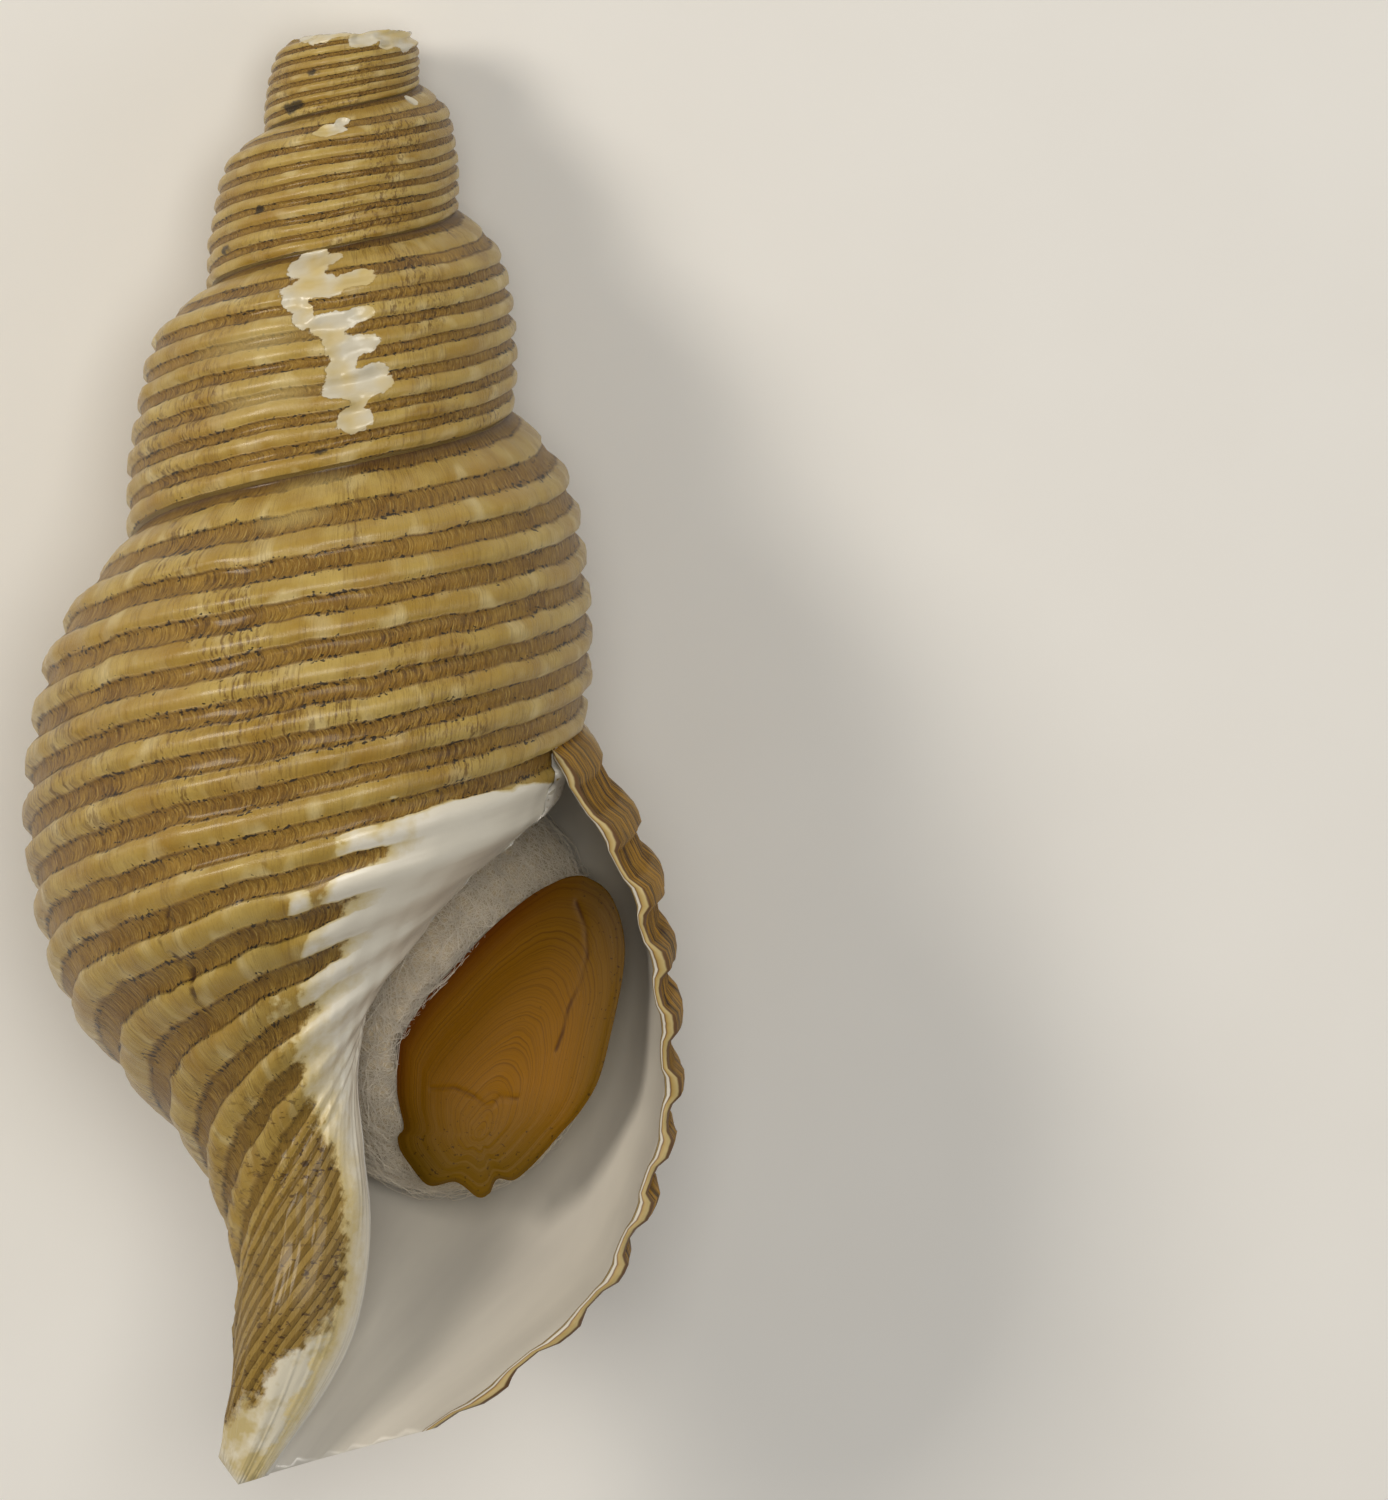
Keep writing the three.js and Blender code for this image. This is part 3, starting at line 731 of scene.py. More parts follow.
        # Fine relief: flakes and lamellae in the grooves, faint ones on the cords, sunken chips.
        relief = add("Math", [hair, add("MapRange", [top, 0.0, 1.0, 1.0, 0.3])], operation="MULTIPLY")
        flame_share = add("MapRange", [top, 0.0, 1.0, 0.6, 0.2])
        relief = add("Math", [flame_noise, flame_share, relief], operation="MULTIPLY_ADD")
        skin_share = add("MapRange", [lip, 0.1, 0.7, 0.0, 1.2])
        relief = add("Math", [skin_noise, skin_share, relief], operation="MULTIPLY_ADD")
        relief = add("Math", [ragged, 0.3, relief], operation="MULTIPLY_ADD")
        relief = add("Math", [chip, -0.5, relief], operation="MULTIPLY_ADD")
        strength = add("MapRange", [bare, 0.0, 1.0, 0.95, 0.1])
        bump = add("Bump", {"Height": relief, "Strength": strength, "Distance": 0.24 * MM})
        shader = add("BsdfPrincipled", {
            "Base Color": colour, "Roughness": rough, "IOR": 1.55, "Normal": bump, "Coat Weight": coat,
            "Coat Roughness": 0.18, "Specular IOR Level": 0.4,
        })
        add("OutputMaterial", {"Surface": shader}, out=None)
        return material


@dataclass(frozen=True)
class PorcelainFinish:
    """Inner layer of the shell, laid smooth by the mantle: soft cool white with a china gloss."""

    white: str = "E2DDD2"
    grey: str = "CFCAC1"
    clouds: Grain = Grain((0.11, 0.25, 0.02), 3.0)

    def material(self) -> bpy.types.Material:
        """Builds the material.

        Returns:
            The material for the lining of the mouth.
        """
        material, add = new_material("aragonite_lining_smooth_grown")
        cloud = self.clouds.on(add, add("Attribute", out="Vector", attribute_name="spiral"))
        level = add("MapRange", [cloud, 0.35, 0.7, 0.0, 1.0])
        colour = add("Mix", {0: level, 6: self.white, 7: self.grey}, out=2, data_type="RGBA")
        bump = add("Bump", {"Height": cloud, "Strength": 0.12, "Distance": 0.4 * MM})
        shader = add("BsdfPrincipled", {
            "Base Color": colour, "Roughness": 0.3, "IOR": 1.55, "Normal": bump, "Coat Weight": 0.2,
            "Coat Roughness": 0.2,
        })
        add("OutputMaterial", {"Surface": shader}, out=None)
        return material


@dataclass(frozen=True)
class LipEdgeFinish:
    """The growing edge of the lip, cut across its layers: brown skin, cream prisms, a thin line, white."""

    skin: str = "6A4820"
    cream: str = "C3AF78"
    amber: str = "A88B4C"
    line: str = "6A4720"
    white: str = "DAD5C8"
    frills: Grain = Grain((0.5, 2.4, 0.3), 4.0)

    def material(self) -> bpy.types.Material:
        """Builds the material.

        Returns:
            The material for the lip's edge.
        """
        material, add = new_material("aragonite_growing_edge_layered")
        rim = add("Attribute", out="Fac", attribute_name="rim")
        frill = self.frills.on(add, add("Attribute", out="Vector", attribute_name="spiral"))
        uneven = add("Math", [frill, 0.5], operation="SUBTRACT")
        layers = add("ValToRGB", [add("Math", [uneven, 0.3, rim], operation="MULTIPLY_ADD")])
        ramp = layers.node.color_ramp
        stops = (
            (0.0, self.skin), (0.14, self.skin), (0.24, self.cream), (0.55, self.amber), (0.64, self.line),
            (0.72, self.white), (1.0, self.white),
        )
        while len(ramp.elements) < len(stops):
            ramp.elements.new(1.0)
        for element, (position, colour) in zip(ramp.elements, stops):
            element.position = position
            element.color = linear(colour)
        bump = add("Bump", {"Height": frill, "Strength": 0.6, "Distance": 0.25 * MM})
        shader = add("BsdfPrincipled", {
            "Base Color": layers, "Roughness": 0.5, "IOR": 1.55, "Normal": bump,
        })
        add("OutputMaterial", {"Surface": shader}, out=None)
        return material


@dataclass(frozen=True)
class HornFinish:
    """Operculum of dried horny protein, grown in curved bands: amber, satin and slightly see-through."""

    amber: str = "875A00"
    deep: str = "622C02"
    olive: str = "5E4704"
    line: str = "3A1A04"
    speck: str = "191008"
    warp: Grain = Grain((0.28, 0.28, 0.28), 3.0)
    bands: Grain = Grain((70.0, 0.0, 0.0), 4.0, 0.75)
    grit: Grain = Grain((3.4, 3.4, 3.4), 3.0, 0.6)

    def material(self) -> bpy.types.Material:
        """Builds the material.

        Returns:
            The material for the operculum.
        """
        material, add = new_material("conchiolin_horn_grown_in_bands")
        lid = add("Attribute", out="Vector", attribute_name="lid")
        x = add("SeparateXYZ", [lid], out=0)
        y = add("SeparateXYZ", [lid], out=1)
        growth = add("SeparateXYZ", [lid], out=2)
        warp = self.warp.on(add, lid)
        warped = add("Math", [warp, 0.07, growth], operation="MULTIPLY_ADD")
        bands = self.bands.on(add, add("CombineXYZ", [warped]))

        # Red-brown to the upper left and at the edge, olive along the lower right.
        slope = add("Math", [x, -0.05, 0.0], operation="MULTIPLY_ADD")
        slope = add("Math", [y, 0.035, slope], operation="MULTIPLY_ADD")
        edge = add("MapRange", [growth, 0.8, 1.0, 0.0, 1.0])
        red = add("Math", [edge, add("Math", [slope, 0.5], operation="ADD")], operation="MULTIPLY")
        red = add("Math", [slope, 0.4, red], operation="MULTIPLY_ADD", use_clamp=True)
        colour = add("Mix", {0: red, 6: self.amber, 7: self.deep}, out=2, data_type="RGBA")
        low = add("MapRange", [y, -3.0, -9.0, 0.0, 0.8])
        right = add("MapRange", [x, 0.0, 6.0, 0.0, 1.0])
        rim = add("Math", [add("MapRange", [growth, 0.6, 1.0, 0.1, 0.75]), right], operation="MULTIPLY")
        olive = add("Math", [low, rim], operation="MAXIMUM")
        colour = add("Mix", {0: olive, 6: colour, 7: self.olive}, out=2, data_type="RGBA")

        # Growth lines, the folds, and specks along the olive part.
        fold = add("MapRange", [add("Attribute", out="Fac", attribute_name="fold"), 0.3, 1.0, 0.0, 0.8])
        fold = add("Math", [fold, add("MapRange", [warp, 0.42, 0.56, 0.25, 1.0])], operation="MULTIPLY")
        speck = add("Math", [olive, 0.13, self.grit.on(add, lid)], operation="MULTIPLY_ADD")
        for level, tint in (
            (add("MapRange", [bands, 0.49, 0.63, 0.0, 0.52]), self.line),
            (fold, self.line),
            (add("MapRange", [speck, 0.71, 0.76, 0.0, 0.65]), self.speck),
        ):
            colour = add("Mix", {0: level, 6: colour, 7: tint}, out=2, data_type="RGBA")
        relief = add("Math", [warp, 0.5, bands], operation="MULTIPLY_ADD")
        bump = add("Bump", {"Height": relief, "Strength": 0.3, "Distance": 0.12 * MM})
        shader = add("BsdfPrincipled", {
            "Base Color": colour, "Roughness": 0.38, "IOR": 1.54, "Specular IOR Level": 0.1, "Normal": bump,
        })
        add("OutputMaterial", {"Surface": shader}, out=None)
        return material


@dataclass(frozen=True)
class CottonFinish:
    """Bleached cotton wool, carded: fine matt white fibres that catch light softly."""

    # The wad's beige is partly painted shade: the same cotton as the fibres, darker deep in the mouth.
    colour: str = "D8C7A8"
    fluff: Grain = Grain((900.0, 900.0, 900.0), 5.0)

    def material(self, name: str) -> bpy.types.Material:
        """Builds the material.

        Args:
            name: Name of the material.

        Returns:
            The material for the wad or its fibres.
        """
        material, add = new_material(name)
        fluff = self.fluff.on(add, add("TexCoord", out="Object"))
        shade = add("MapRange", [fluff, 0.3, 0.7, 0.8, 1.0])
        grey = add("CombineColor", [shade, shade, shade])
        colour = add("Mix", {0: 1.0, 6: self.colour, 7: grey}, out=2, data_type="RGBA",
                     blend_type="MULTIPLY")
        bump = add("Bump", {"Height": fluff, "Strength": 0.35, "Distance": 0.2 * MM})
        shader = add("BsdfPrincipled", {
            "Base Color": colour, "Roughness": 0.9, "Normal": bump, "Sheen Weight": 0.3,
            "Sheen Roughness": 0.5,
        })
        add("OutputMaterial", {"Surface": shader}, out=None)
        return material


@dataclass(frozen=True)
class TableFinish:
    """Pale painted board, rolled smooth: matt, with a faint mottle."""

    light: str = "F4F3F0"
    dark: str = "EFEDE9"
    mottle: Grain = Grain((60.0, 60.0, 60.0), 4.0)

    def material(self) -> bpy.types.Material:
        """Builds the material.

        Returns:
            The material for the table.
        """
        material, add = new_material("painted_board_rolled")
        mottle = self.mottle.on(add, add("TexCoord", out="Object"))
        colour = add("Mix", {0: mottle, 6: self.light, 7: self.dark}, out=2, data_type="RGBA")
        shader = add("BsdfPrincipled", {"Base Color": colour, "Roughness": 0.75})
        add("OutputMaterial", {"Surface": shader}, out=None)
        return material


# The age field holds real browning and, beside the mouth, painted shade.
FIELDS = ("glaze", "worn", "grime", "crack", "age", "polish", "tip", "lip", "rim")
FAR = 30.0  # Millimetres: well inside a glazed or bare region, or well outside it with a minus sign.


class Side(Enum):
    """Material slots of the shell's mesh."""

    OUTSIDE = 0
    LINING = 1
    LIP_EDGE = 2


@dataclass
class Shell:
    """The shell as one closed coiled surface: outside, lip edge and lining."""

    coil: Coil
    cords: Cords
    offset: Array
    resting: Resting
    whorls: int = 5
    columns: int = 208
    rows_per_cord: int = 7
    neck_rows: int = 26
    inner_turns: float = 1.1
    inner_columns: int = 76
    wall: float = 1.15
    lip_wall: float = 0.62
    thinning_turns: float = 0.2
    glaze_height: float = 0.5
    glazed_cord_share: float = 0.6
    cords_under_glaze: float = 0.6
    hidden_margin: float = 1.6
    rim_steps: int = 6
    rim_bulge: float = 0.35
    overlap: float = 0.06
    pillar_room: float = 0.6
    lining_shift: float = 500.0
    lining_below: float = 20.0
    weld: float = 0.002
    chip_depth: float = 0.35
    crack_depth: float = 0.25
    lowest_chip: float = 100.0
    apex_break: tuple[float, float, float] = (2.0, 10.9, 0.141)
    apex_roughness: float = 0.5
    apex_fold: float = 1.6
    canal_cut: tuple[float, float, float] = (-4.8, -0.8, 0.31)
    corner_cut: tuple[float, float, float] = (-5.6, 0.1, -0.89)
    glaze_line: Profile = (
        (58.6, 1.15), (61.4, 1.12), (61.9, 0.99), (62.6, 0.91), (63.3, 0.85), (64.5, 0.825), (66.5, 0.805),
        (69.5, 0.785), (73.0, 0.781), (76.0, 0.772), (79.4, 0.735), (81.8, 0.722), (84.2, 0.732),
        (86.0, 0.756), (88.0, 0.815), (90.0, 0.845), (93.0, 0.862), (96.5, 0.880), (99.0, 0.875),
        (101.5, 0.86), (113.0, 0.86),
    )
    tip_line: tuple[float, float, float, float] = (1.7, 11.9, 0.736, 0.675)
    points: list = field(default_factory=list)
    spiral: list = field(default_factory=list)
    fields: dict = field(default_factory=lambda: {key: [] for key in FIELDS})
    faces: list = field(default_factory=list)
    slots: list = field(default_factory=list)
    count: int = 0

    def own_rows(self) -> tuple[Array, int]:
        """Own drops of the rows, and the number of the row on the next seam."""
        step = self.cords.spacing / self.rows_per_cord
        first, last = self.coil.seam_drop, self.coil.next_seam
        upper = np.linspace(first, last, int((last - first) / step) + 1)
        broad_end = self.cords.start + (self.cords.count + 1) * self.cords.spacing
        middle = np.arange(upper[-1] + step, broad_end, step)
        bottom = (self.coil.bottom_drop + 1) / float(self.coil.drop_scale(1.0))
        lower = np.linspace(middle[-1], bottom, self.neck_rows + 1)[1:]
        return np.concatenate([upper, middle, lower]), len(upper) - 1

    def add_points(self, points: Array, spiral: Array, values: dict[str, Array], hollow: bool) -> Array:
        """Adds a block of corners.

        Args:
            points: Corners in the shell's frame, in millimetres.
            spiral: Length along, cord number and distance below the seam of each.
            values: Fields of each corner; those left out are 0.
            hollow: Whether the block may stay as it is where the shell rests.

        Returns:
            Numbers of the corners, in the block's shape.
        """
        shape = points.shape[:-1]
        size = int(np.prod(shape))
        row = self.resting.turned(points).reshape(-1, 3) + self.offset
        if not hollow:
            row[:, 2] = np.maximum(row[:, 2], 0.0)
        self.points.append(row * MM)
        self.spiral.append(np.broadcast_to(spiral, points.shape).reshape(-1, 3))
        for key, store in self.fields.items():
            store.append(np.broadcast_to(values.get(key, 0.0), shape).reshape(-1))
        numbers = np.arange(self.count, self.count + size).reshape(shape)
        self.count += size
        return numbers

    def add_grid(self, numbers: Array, side: Side, flip: bool = False) -> None:
        """Adds the faces of a grid of corners.

        Args:
            numbers: Corner numbers by column and row.
            side: The material slot.
            flip: Turns the faces over.
        """
        a, b = numbers[:-1, :-1].ravel(), numbers[1:, :-1].ravel()
        c, d = numbers[1:, 1:].ravel(), numbers[:-1, 1:].ravel()
        quads = np.stack([a, d, c, b] if flip else [a, b, c, d], axis=1)
        self.faces.extend(quads.tolist())
        self.slots.extend([side.value] * len(quads))

    def marks_at(self, turn: Array, own: Array) -> dict[str, Array]:
        """Fields of wear at places on the outside.

        Args:
            turn: Turns of the places.
            own: Own drops of the places.

        Returns:
            Field values by name, 1 in a mark's middle and below 0 outside it.
        """
        along = self.coil.along(turn)
        scale = self.coil.drop_scale(turn)
        found = {kind.value: np.full(np.broadcast(turn, own).shape, -1.0) for kind in Wear}
        for mark in MARKS:
            apart = (along - self.coil.along(mark.turn)) / mark.length
            across = (own - mark.own) * scale / mark.width
            value = 1 - np.sqrt(apart**2 + across**2)
            found[mark.kind.value] = np.maximum(found[mark.kind.value], value)
        return found

    def outside_fields(self, turn: Array, own: Array, drop: Array, radius: Array) -> dict[str, Array]:
        """Fields of wear, glaze and age on the outside; beside the mouth the age is partly painted shade.

        Args:
            turn: Turns of the places.
            own: Own drops.
            drop: Drops.
            radius: Radii.

        Returns:
            Field values by name.
        """
        values = self.marks_at(turn, own)
        line = read_profile(self.glaze_line, drop)
        values["glaze"] = np.where(turn <= 1.001, (turn - line) * TAU * radius, -FAR)
        apex = 1 - (drop - self.apex_break[1]) / (1.0 + 0.6 * ripple(turn * 9, drop, SEED + 3))
        values["worn"] = np.maximum(values["worn"], np.clip(apex, -1, 1))
        x0, y0, across, down = self.tip_line
        place = self.coil.place(self.coil.azimuth(turn, drop), radius, drop)
        tip = (place[..., 0] - x0) * across + (y0 - place[..., 1]) * down
        values["tip"] = np.where((turn > 0.3) & (turn < 1.01), tip, -FAR)
        values["lip"] = 1 - smooth_step(turn + 0.012 * ripple(drop * 0.6, 0.0, SEED + 7), 0.03, 0.075)

        # How brown each region has become: neck, base, early whorls, seam, beside the mouth and shoulder.
        # Beside the mouth the brown is partly real stain and partly painted shade, away from the key light.
        neck = 0.75 * smooth_step(own, 116.0, 126.0) * (turn > 0.3)
        low = 0.35 * smooth_step(own, 92.0, 104.0)
        early = 0.25 * smooth_step(turn, 1.8, 3.2)
        seam = 0.55 * (1 - smooth_step(own, 59.0, 63.0))
        # Painted shade, with some real stain: darkens the whorl beside the lip, the side away from the key
        # light.
        stain_and_shade_by_mouth = 0.5 * smooth_step(turn, 0.86, 0.99) * (1 - smooth_step(turn, 1.2, 1.5))
        shoulder = 0.5 * (1 - smooth_step(np.abs(turn - 0.57), 0.05, 0.14)) * smooth_step(own, 64.0, 76.0)
        everywhere = 0.12
        ages = np.broadcast_arrays(neck, low, early, seam, stain_and_shade_by_mouth, shoulder, everywhere)
        values["age"] = np.maximum.reduce(ages)
        return values

    def broken_apex(self, angle: Array, radius: Array, drop: Array) -> tuple[Array, Array]:
        """Folds what would stand above the broken apex down into a rough cap.

        Args:
            angle: Azimuths.
            radius: Radii.
            drop: Drops.

        Returns:
            Radii and drops with the apex broken off.
        """
        x0, drop0, slope = self.apex_break
        jag = 0.5 + 0.5 * ripple(angle * 1.3, 0.0, SEED + 15)
        jag = jag + 0.35 * ripple(angle * 4.1, 0.0, SEED + 16)
        height = drop0 - (radius * np.cos(angle) - x0) * slope + self.apex_roughness * jag
        above = np.clip((height - drop) / self.apex_fold, 0.0, 1.0)
        inward = radius * np.sqrt(1 - above)
        x, z = inward * np.cos(angle), inward * np.sin(angle)
        rough = 0.35 * ripple(x * 0.9, z * 0.9, SEED + 17)
        floor = drop0 - (x - x0) * slope + 0.5 + 0.9 * np.sqrt(above) + rough
        level = height + (floor - height) * smooth_step(above, 0.0, 0.25)
        broken = drop < height
        return np.where(broken, inward, radius), np.where(broken, level, drop)

    def build_outside(self) -> tuple[Array, int]:
        """Builds the outside strip.

        Returns:
            Corner numbers by column and row for the last whorl, and the row on the seam.
        """
        coil, cords = self.coil, self.cords
        own, seam_row = self.own_rows()
        rows = len(own)
        last = self.whorls * self.columns
        turn = ((last - np.arange(last + 1)) / self.columns)[:, None]
        scale = coil.drop_scale(turn)
        drop = np.minimum(own[None, :] * scale, coil.bottom_drop)
        own_here = drop / scale
        along = coil.along(turn)
        base = coil.smooth_radius(turn, drop)
        lift = cords.lift(turn, own_here, along) * coil.girth_scale(turn)
        growth = 0.06 * ripple(along * 0.9, own_here * 0.08, SEED + 5)
        growth = growth + 0.10 * ripple(along * 0.16, own_here * 0.1, SEED + 6)
        values = self.outside_fields(turn, own_here, drop, base)
        glazed = smooth_step(values["glaze"], -0.5, 4.0)
        callus = self.glaze_height * glazed
        chip = self.chip_depth * smooth_step(values["worn"], 0.0, 0.5) * (drop < self.lowest_chip)
        dent = self.crack_depth * smooth_step(values["crack"], 0.0, 0.8)
        calm = np.minimum(1.0, (own_here - coil.seam_drop) / 1.5)
        grown = (growth * calm + callus) * coil.girth_scale(turn)
        radius = base + lift * (1 - self.cords_under_glaze * glazed) + grown - chip - dent
        angle = coil.azimuth(turn, drop)
        radius, drop = self.broken_apex(angle, radius, drop)
        points = coil.place(angle, radius, drop)
        phase = cords.phase(own_here, along)
        spiral = np.stack(np.broadcast_arrays(along, phase, own_here - coil.seam_drop), axis=-1)
        values = {key: np.broadcast_to(value, (last + 1, rows)) for key, value in values.items()}

        # Each spire whorl ends on the seam where the next one starts. The last one runs down to the canal.
        before = last - self.columns
        upper = {key: value[:before, :seam_row] for key, value in values.items()}
        lower = {key: value[before:] for key, value in values.items()}
        spire = self.add_points(points[:before, :seam_row], spiral[:before, :seam_row], upper, False)
        body = self.add_points(points[before:], spiral[before:], lower, False)
        top_row = np.concatenate([spire[:, 0], body[:, 0]])
        stitched = top_row[np.arange(before) + self.columns]
        self.add_grid(np.concatenate([spire, stitched[:, None]], axis=1), Side.OUTSIDE)
        spire_end = np.append(spire[-1], stitched[-1])
        self.add_grid(np.stack([spire_end, np.append(body[0, :seam_row], body[-1, 0])]), Side.OUTSIDE)
        self.add_grid(body, Side.OUTSIDE)
        return body, seam_row

    def pillar_radius(self, turns: Array, drop: Array) -> tuple[Array, Array]:
        """Radius of the glazed pillar behind the mouth.

        Args:
            turns: Turns of the whorl outside it.
            drop: Drops.

        Returns:
            Radii, and own drops on the whorl before, whose outside the pillar was.
        """
        coil = self.coil
        back = 1.0 + (coil.azimuth(turns, drop) - coil.lip_azimuth) / TAU
        own_back = drop / coil.drop_scale(back)
        eased = smooth_step(drop - coil.seam_drop * coil.drop_scale(turns), 0.0, 2.5)
        glaze = self.glaze_height * eased * coil.girth_scale(1.0)
        cord = self.cords.lift(back, own_back, coil.along(back)) * coil.girth_scale(back)
        fading = self.glazed_cord_share * (0.35 + 0.65 * np.exp(-turns * 9))
        pillar = coil.smooth_radius(back, drop) + glaze + cord * fading
        room = self.pillar_room * smooth_step(turns, 0.01, 0.12)
        free = np.where(turns < 0.01, np.inf, coil.smooth_radius(turns, drop) - room)
        return np.minimum(pillar, free), own_back

    def build_pillar(self, body: Array, seam_row: int, turns: Array, top: Array) -> None:
        """Builds the pillar, which carries on from the whorl before with its cords nearly glazed over.

        Args:
            body: Corner numbers of the last whorl's outside.
            seam_row: The row on the seam.
            turns: Turns back from the lip.
            top: Drop at which the pillar starts, for each turn.
        """
        coil = self.coil
        own, _ = self.own_rows()
        start = own[seam_row:] * coil.drop_scale(1.0)
        share = np.clip((start - start[0]) / (coil.bottom_drop - start[0]), 0.0, 1.0)[None, :]
        drop = top + (coil.bottom_drop - top) * share
        pillar, own_back = self.pillar_radius(turns, drop)
        along = coil.along(1.0 + turns)
        phase = self.cords.phase(own_back, along)
        spiral = np.stack(np.broadcast_arrays(along, phase, own_back - coil.seam_drop), axis=-1)
        place = coil.place(coil.azimuth(turns, drop), pillar, drop)
        grid = self.add_points(place, spiral, {"glaze": np.full(pillar.shape, FAR)}, True)
        self.add_grid(np.stack([grid[0], body[0, seam_row:]]), Side.LINING)
        self.add_grid(grid, Side.LINING, flip=True)

    def build_lining(self, turns: Array, top: Array) -> Array:
        """Builds the wall's lining, from the lip back, never below the pillar's surface.

        Args:
            turns: Turns back from the lip.
            top: Drop at which the lining starts, for each turn.

        Returns:
            Corner numbers of its first column, at the lip.
        """
        coil = self.coil
        own, _ = self.own_rows()
        share = np.clip((own - own[0]) / (coil.bottom_drop - own[0]), 0.0, 1.0)[None, :]
        drop = top + (coil.bottom_drop - top) * share
        thickness = self.lip_wall + (self.wall - self.lip_wall) * smooth_step(turns / self.thinning_turns)
        outer = coil.smooth_radius(turns, drop)
        inner, _ = self.pillar_radius(turns, drop)
        own_wall = drop / coil.drop_scale(turns)
        along = coil.along(turns)
        flute = 0.3 * self.cords.lift(turns, own_wall, along) * np.exp(-turns * 30)
        wall = np.maximum(outer - thickness + flute, inner - self.overlap)
        close = smooth_step(turns, self.inner_turns - 0.05, self.inner_turns)
        wall = wall + (inner - wall) * close
        phase = self.cords.phase(own_wall, along)
        spiral = np.stack(np.broadcast_arrays(along + self.lining_shift, phase, self.lining_below), axis=-1)
        grid = self.add_points(coil.place(coil.azimuth(turns, drop), wall, drop), spiral, {}, True)
        self.add_grid(grid, Side.LINING)
        return grid[0]

    def build_lip_edge(self, outside: Array, lining: Array) -> None:
        """Builds the lip's edge, rounded and scalloped by the cords.

        Args:
            outside: Corner numbers of the outside at the lip.
            lining: Corner numbers of the lining at the lip.
        """
        coil = self.coil
        own, _ = self.own_rows()
        points = np.concatenate(self.points) / MM
        lip_points, inner_points = points[outside], points[lining]
        numbers = [outside]
        at_lip = coil.azimuth(0.0, own)
        reach = np.full(len(own), 20.0)
        forward = coil.place(at_lip - 0.05, reach, own) - coil.place(at_lip, reach, own)
        forward = self.resting.turned(forward)
        forward = forward / np.linalg.norm(forward, axis=1, keepdims=True)
        uneven = 1 + 0.5 * ripple(own * 0.9, 0.0, SEED + 8) + 0.35 * ripple(own * 2.3, 0.0, SEED + 9)
        for step in range(1, self.rim_steps):
            share = step / self.rim_steps
            bulge = self.rim_bulge * math.sin(math.pi * share) ** 0.7
            ring = lip_points + (inner_points - lip_points) * share + forward * bulge * uneven[:, None]
            numbers.append(self.add_ring(ring, own, share))
        numbers.append(lining)
        self.add_grid(np.stack(numbers), Side.LIP_EDGE)

    def build_inside(self, body: Array, seam_row: int) -> None:
        """Builds the pillar, the lining of the wall and the lip's edge.

        Args:
            body: Corner numbers of the last whorl's outside.
            seam_row: The row on the seam.
        """
        turns = np.linspace(0.0, self.inner_turns, self.inner_columns + 1)[:, None]
        hidden = smooth_step(turns, 0.0, 0.06) * self.hidden_margin
        top = (self.coil.seam_drop + hidden) * self.coil.drop_scale(turns)
        self.build_pillar(body, seam_row, turns, top)
        lining = self.build_lining(turns, top)
        self.build_lip_edge(body[-1], lining)

    def add_ring(self, ring: Array, own: Array, rim: float) -> Array:
        """Adds one ring of the lip's edge.

        Args:
            ring: Points in the row frame, in millimetres.
            own: Own drops along the lip.
            rim: Share of the way from the outside in.

        Returns:
            Corner numbers.
        """
        self.points.append(ring * MM)
        phase = self.cords.phase(own, 0.0 * own)
        spiral = np.stack(np.broadcast_arrays(0.3 * rim, phase, own - self.coil.seam_drop), axis=-1)
        self.spiral.append(spiral)
        for key, store in self.fields.items():
            store.append(np.full(len(own), rim if key == "rim" else -1.0))
        numbers = np.arange(self.count, self.count + len(own))
        self.count += len(own)
        return numbers

    def trim(self, thing: bpy.types.Object) -> None:
        """Cuts the worn canal end and its corner, and closes each cut.

        Args:
            thing: The shell.
        """
        mesh = bmesh.new()
        mesh.from_mesh(thing.data)
        for x, y, slope in (self.canal_cut, self.corner_cut):
            at = self.resting.turned(np.array([x, y, 0.0])) + self.offset
            normal = self.resting.turned(np.array([math.sin(slope), -math.cos(slope), 0.0]))
            geometry = mesh.verts[:] + mesh.edges[:] + mesh.faces[:]
            cut = bmesh.ops.bisect_plane(mesh, geom=geometry, plane_co=Vector(at * MM),
                                         plane_no=Vector(normal), clear_outer=True, dist=1e-7)
            edges = [part for part in cut["geom_cut"] if isinstance(part, bmesh.types.BMEdge)]
            edges = [edge for edge in edges if edge.is_valid and edge.is_boundary]
            closed = bmesh.ops.triangle_fill(mesh, edges=edges, use_beauty=True, use_dissolve=False)
            for face in closed["geom"]:
                if isinstance(face, bmesh.types.BMFace):
                    face.material_index = Side.OUTSIDE.value
        bmesh.ops.remove_doubles(mesh, verts=mesh.verts[:], dist=self.weld * MM)
        bmesh.ops.recalc_face_normals(mesh, faces=mesh.faces[:])
        mesh.to_mesh(thing.data)
        mesh.free()

    def build(self) -> bpy.types.Object:
        """Builds and dresses the shell.

        Returns:
            The shell's object.
        """
        body, seam_row = self.build_outside()
        self.build_inside(body, seam_row)
        attributes = {key: np.concatenate(store) for key, store in self.fields.items()}
        attributes["spiral"] = np.concatenate(self.spiral)
        thing = object_from("whelk_shell", np.concatenate(self.points), self.faces, attributes)
        thing.data.polygons.foreach_set("material_index", self.slots)
        for finish in (CordedShellFinish(), PorcelainFinish(), LipEdgeFinish()):
            thing.data.materials.append(finish.material())
        self.trim(thing)
        shade_smooth(thing)
        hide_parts("shell")
        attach(thing, "root")
        return thing


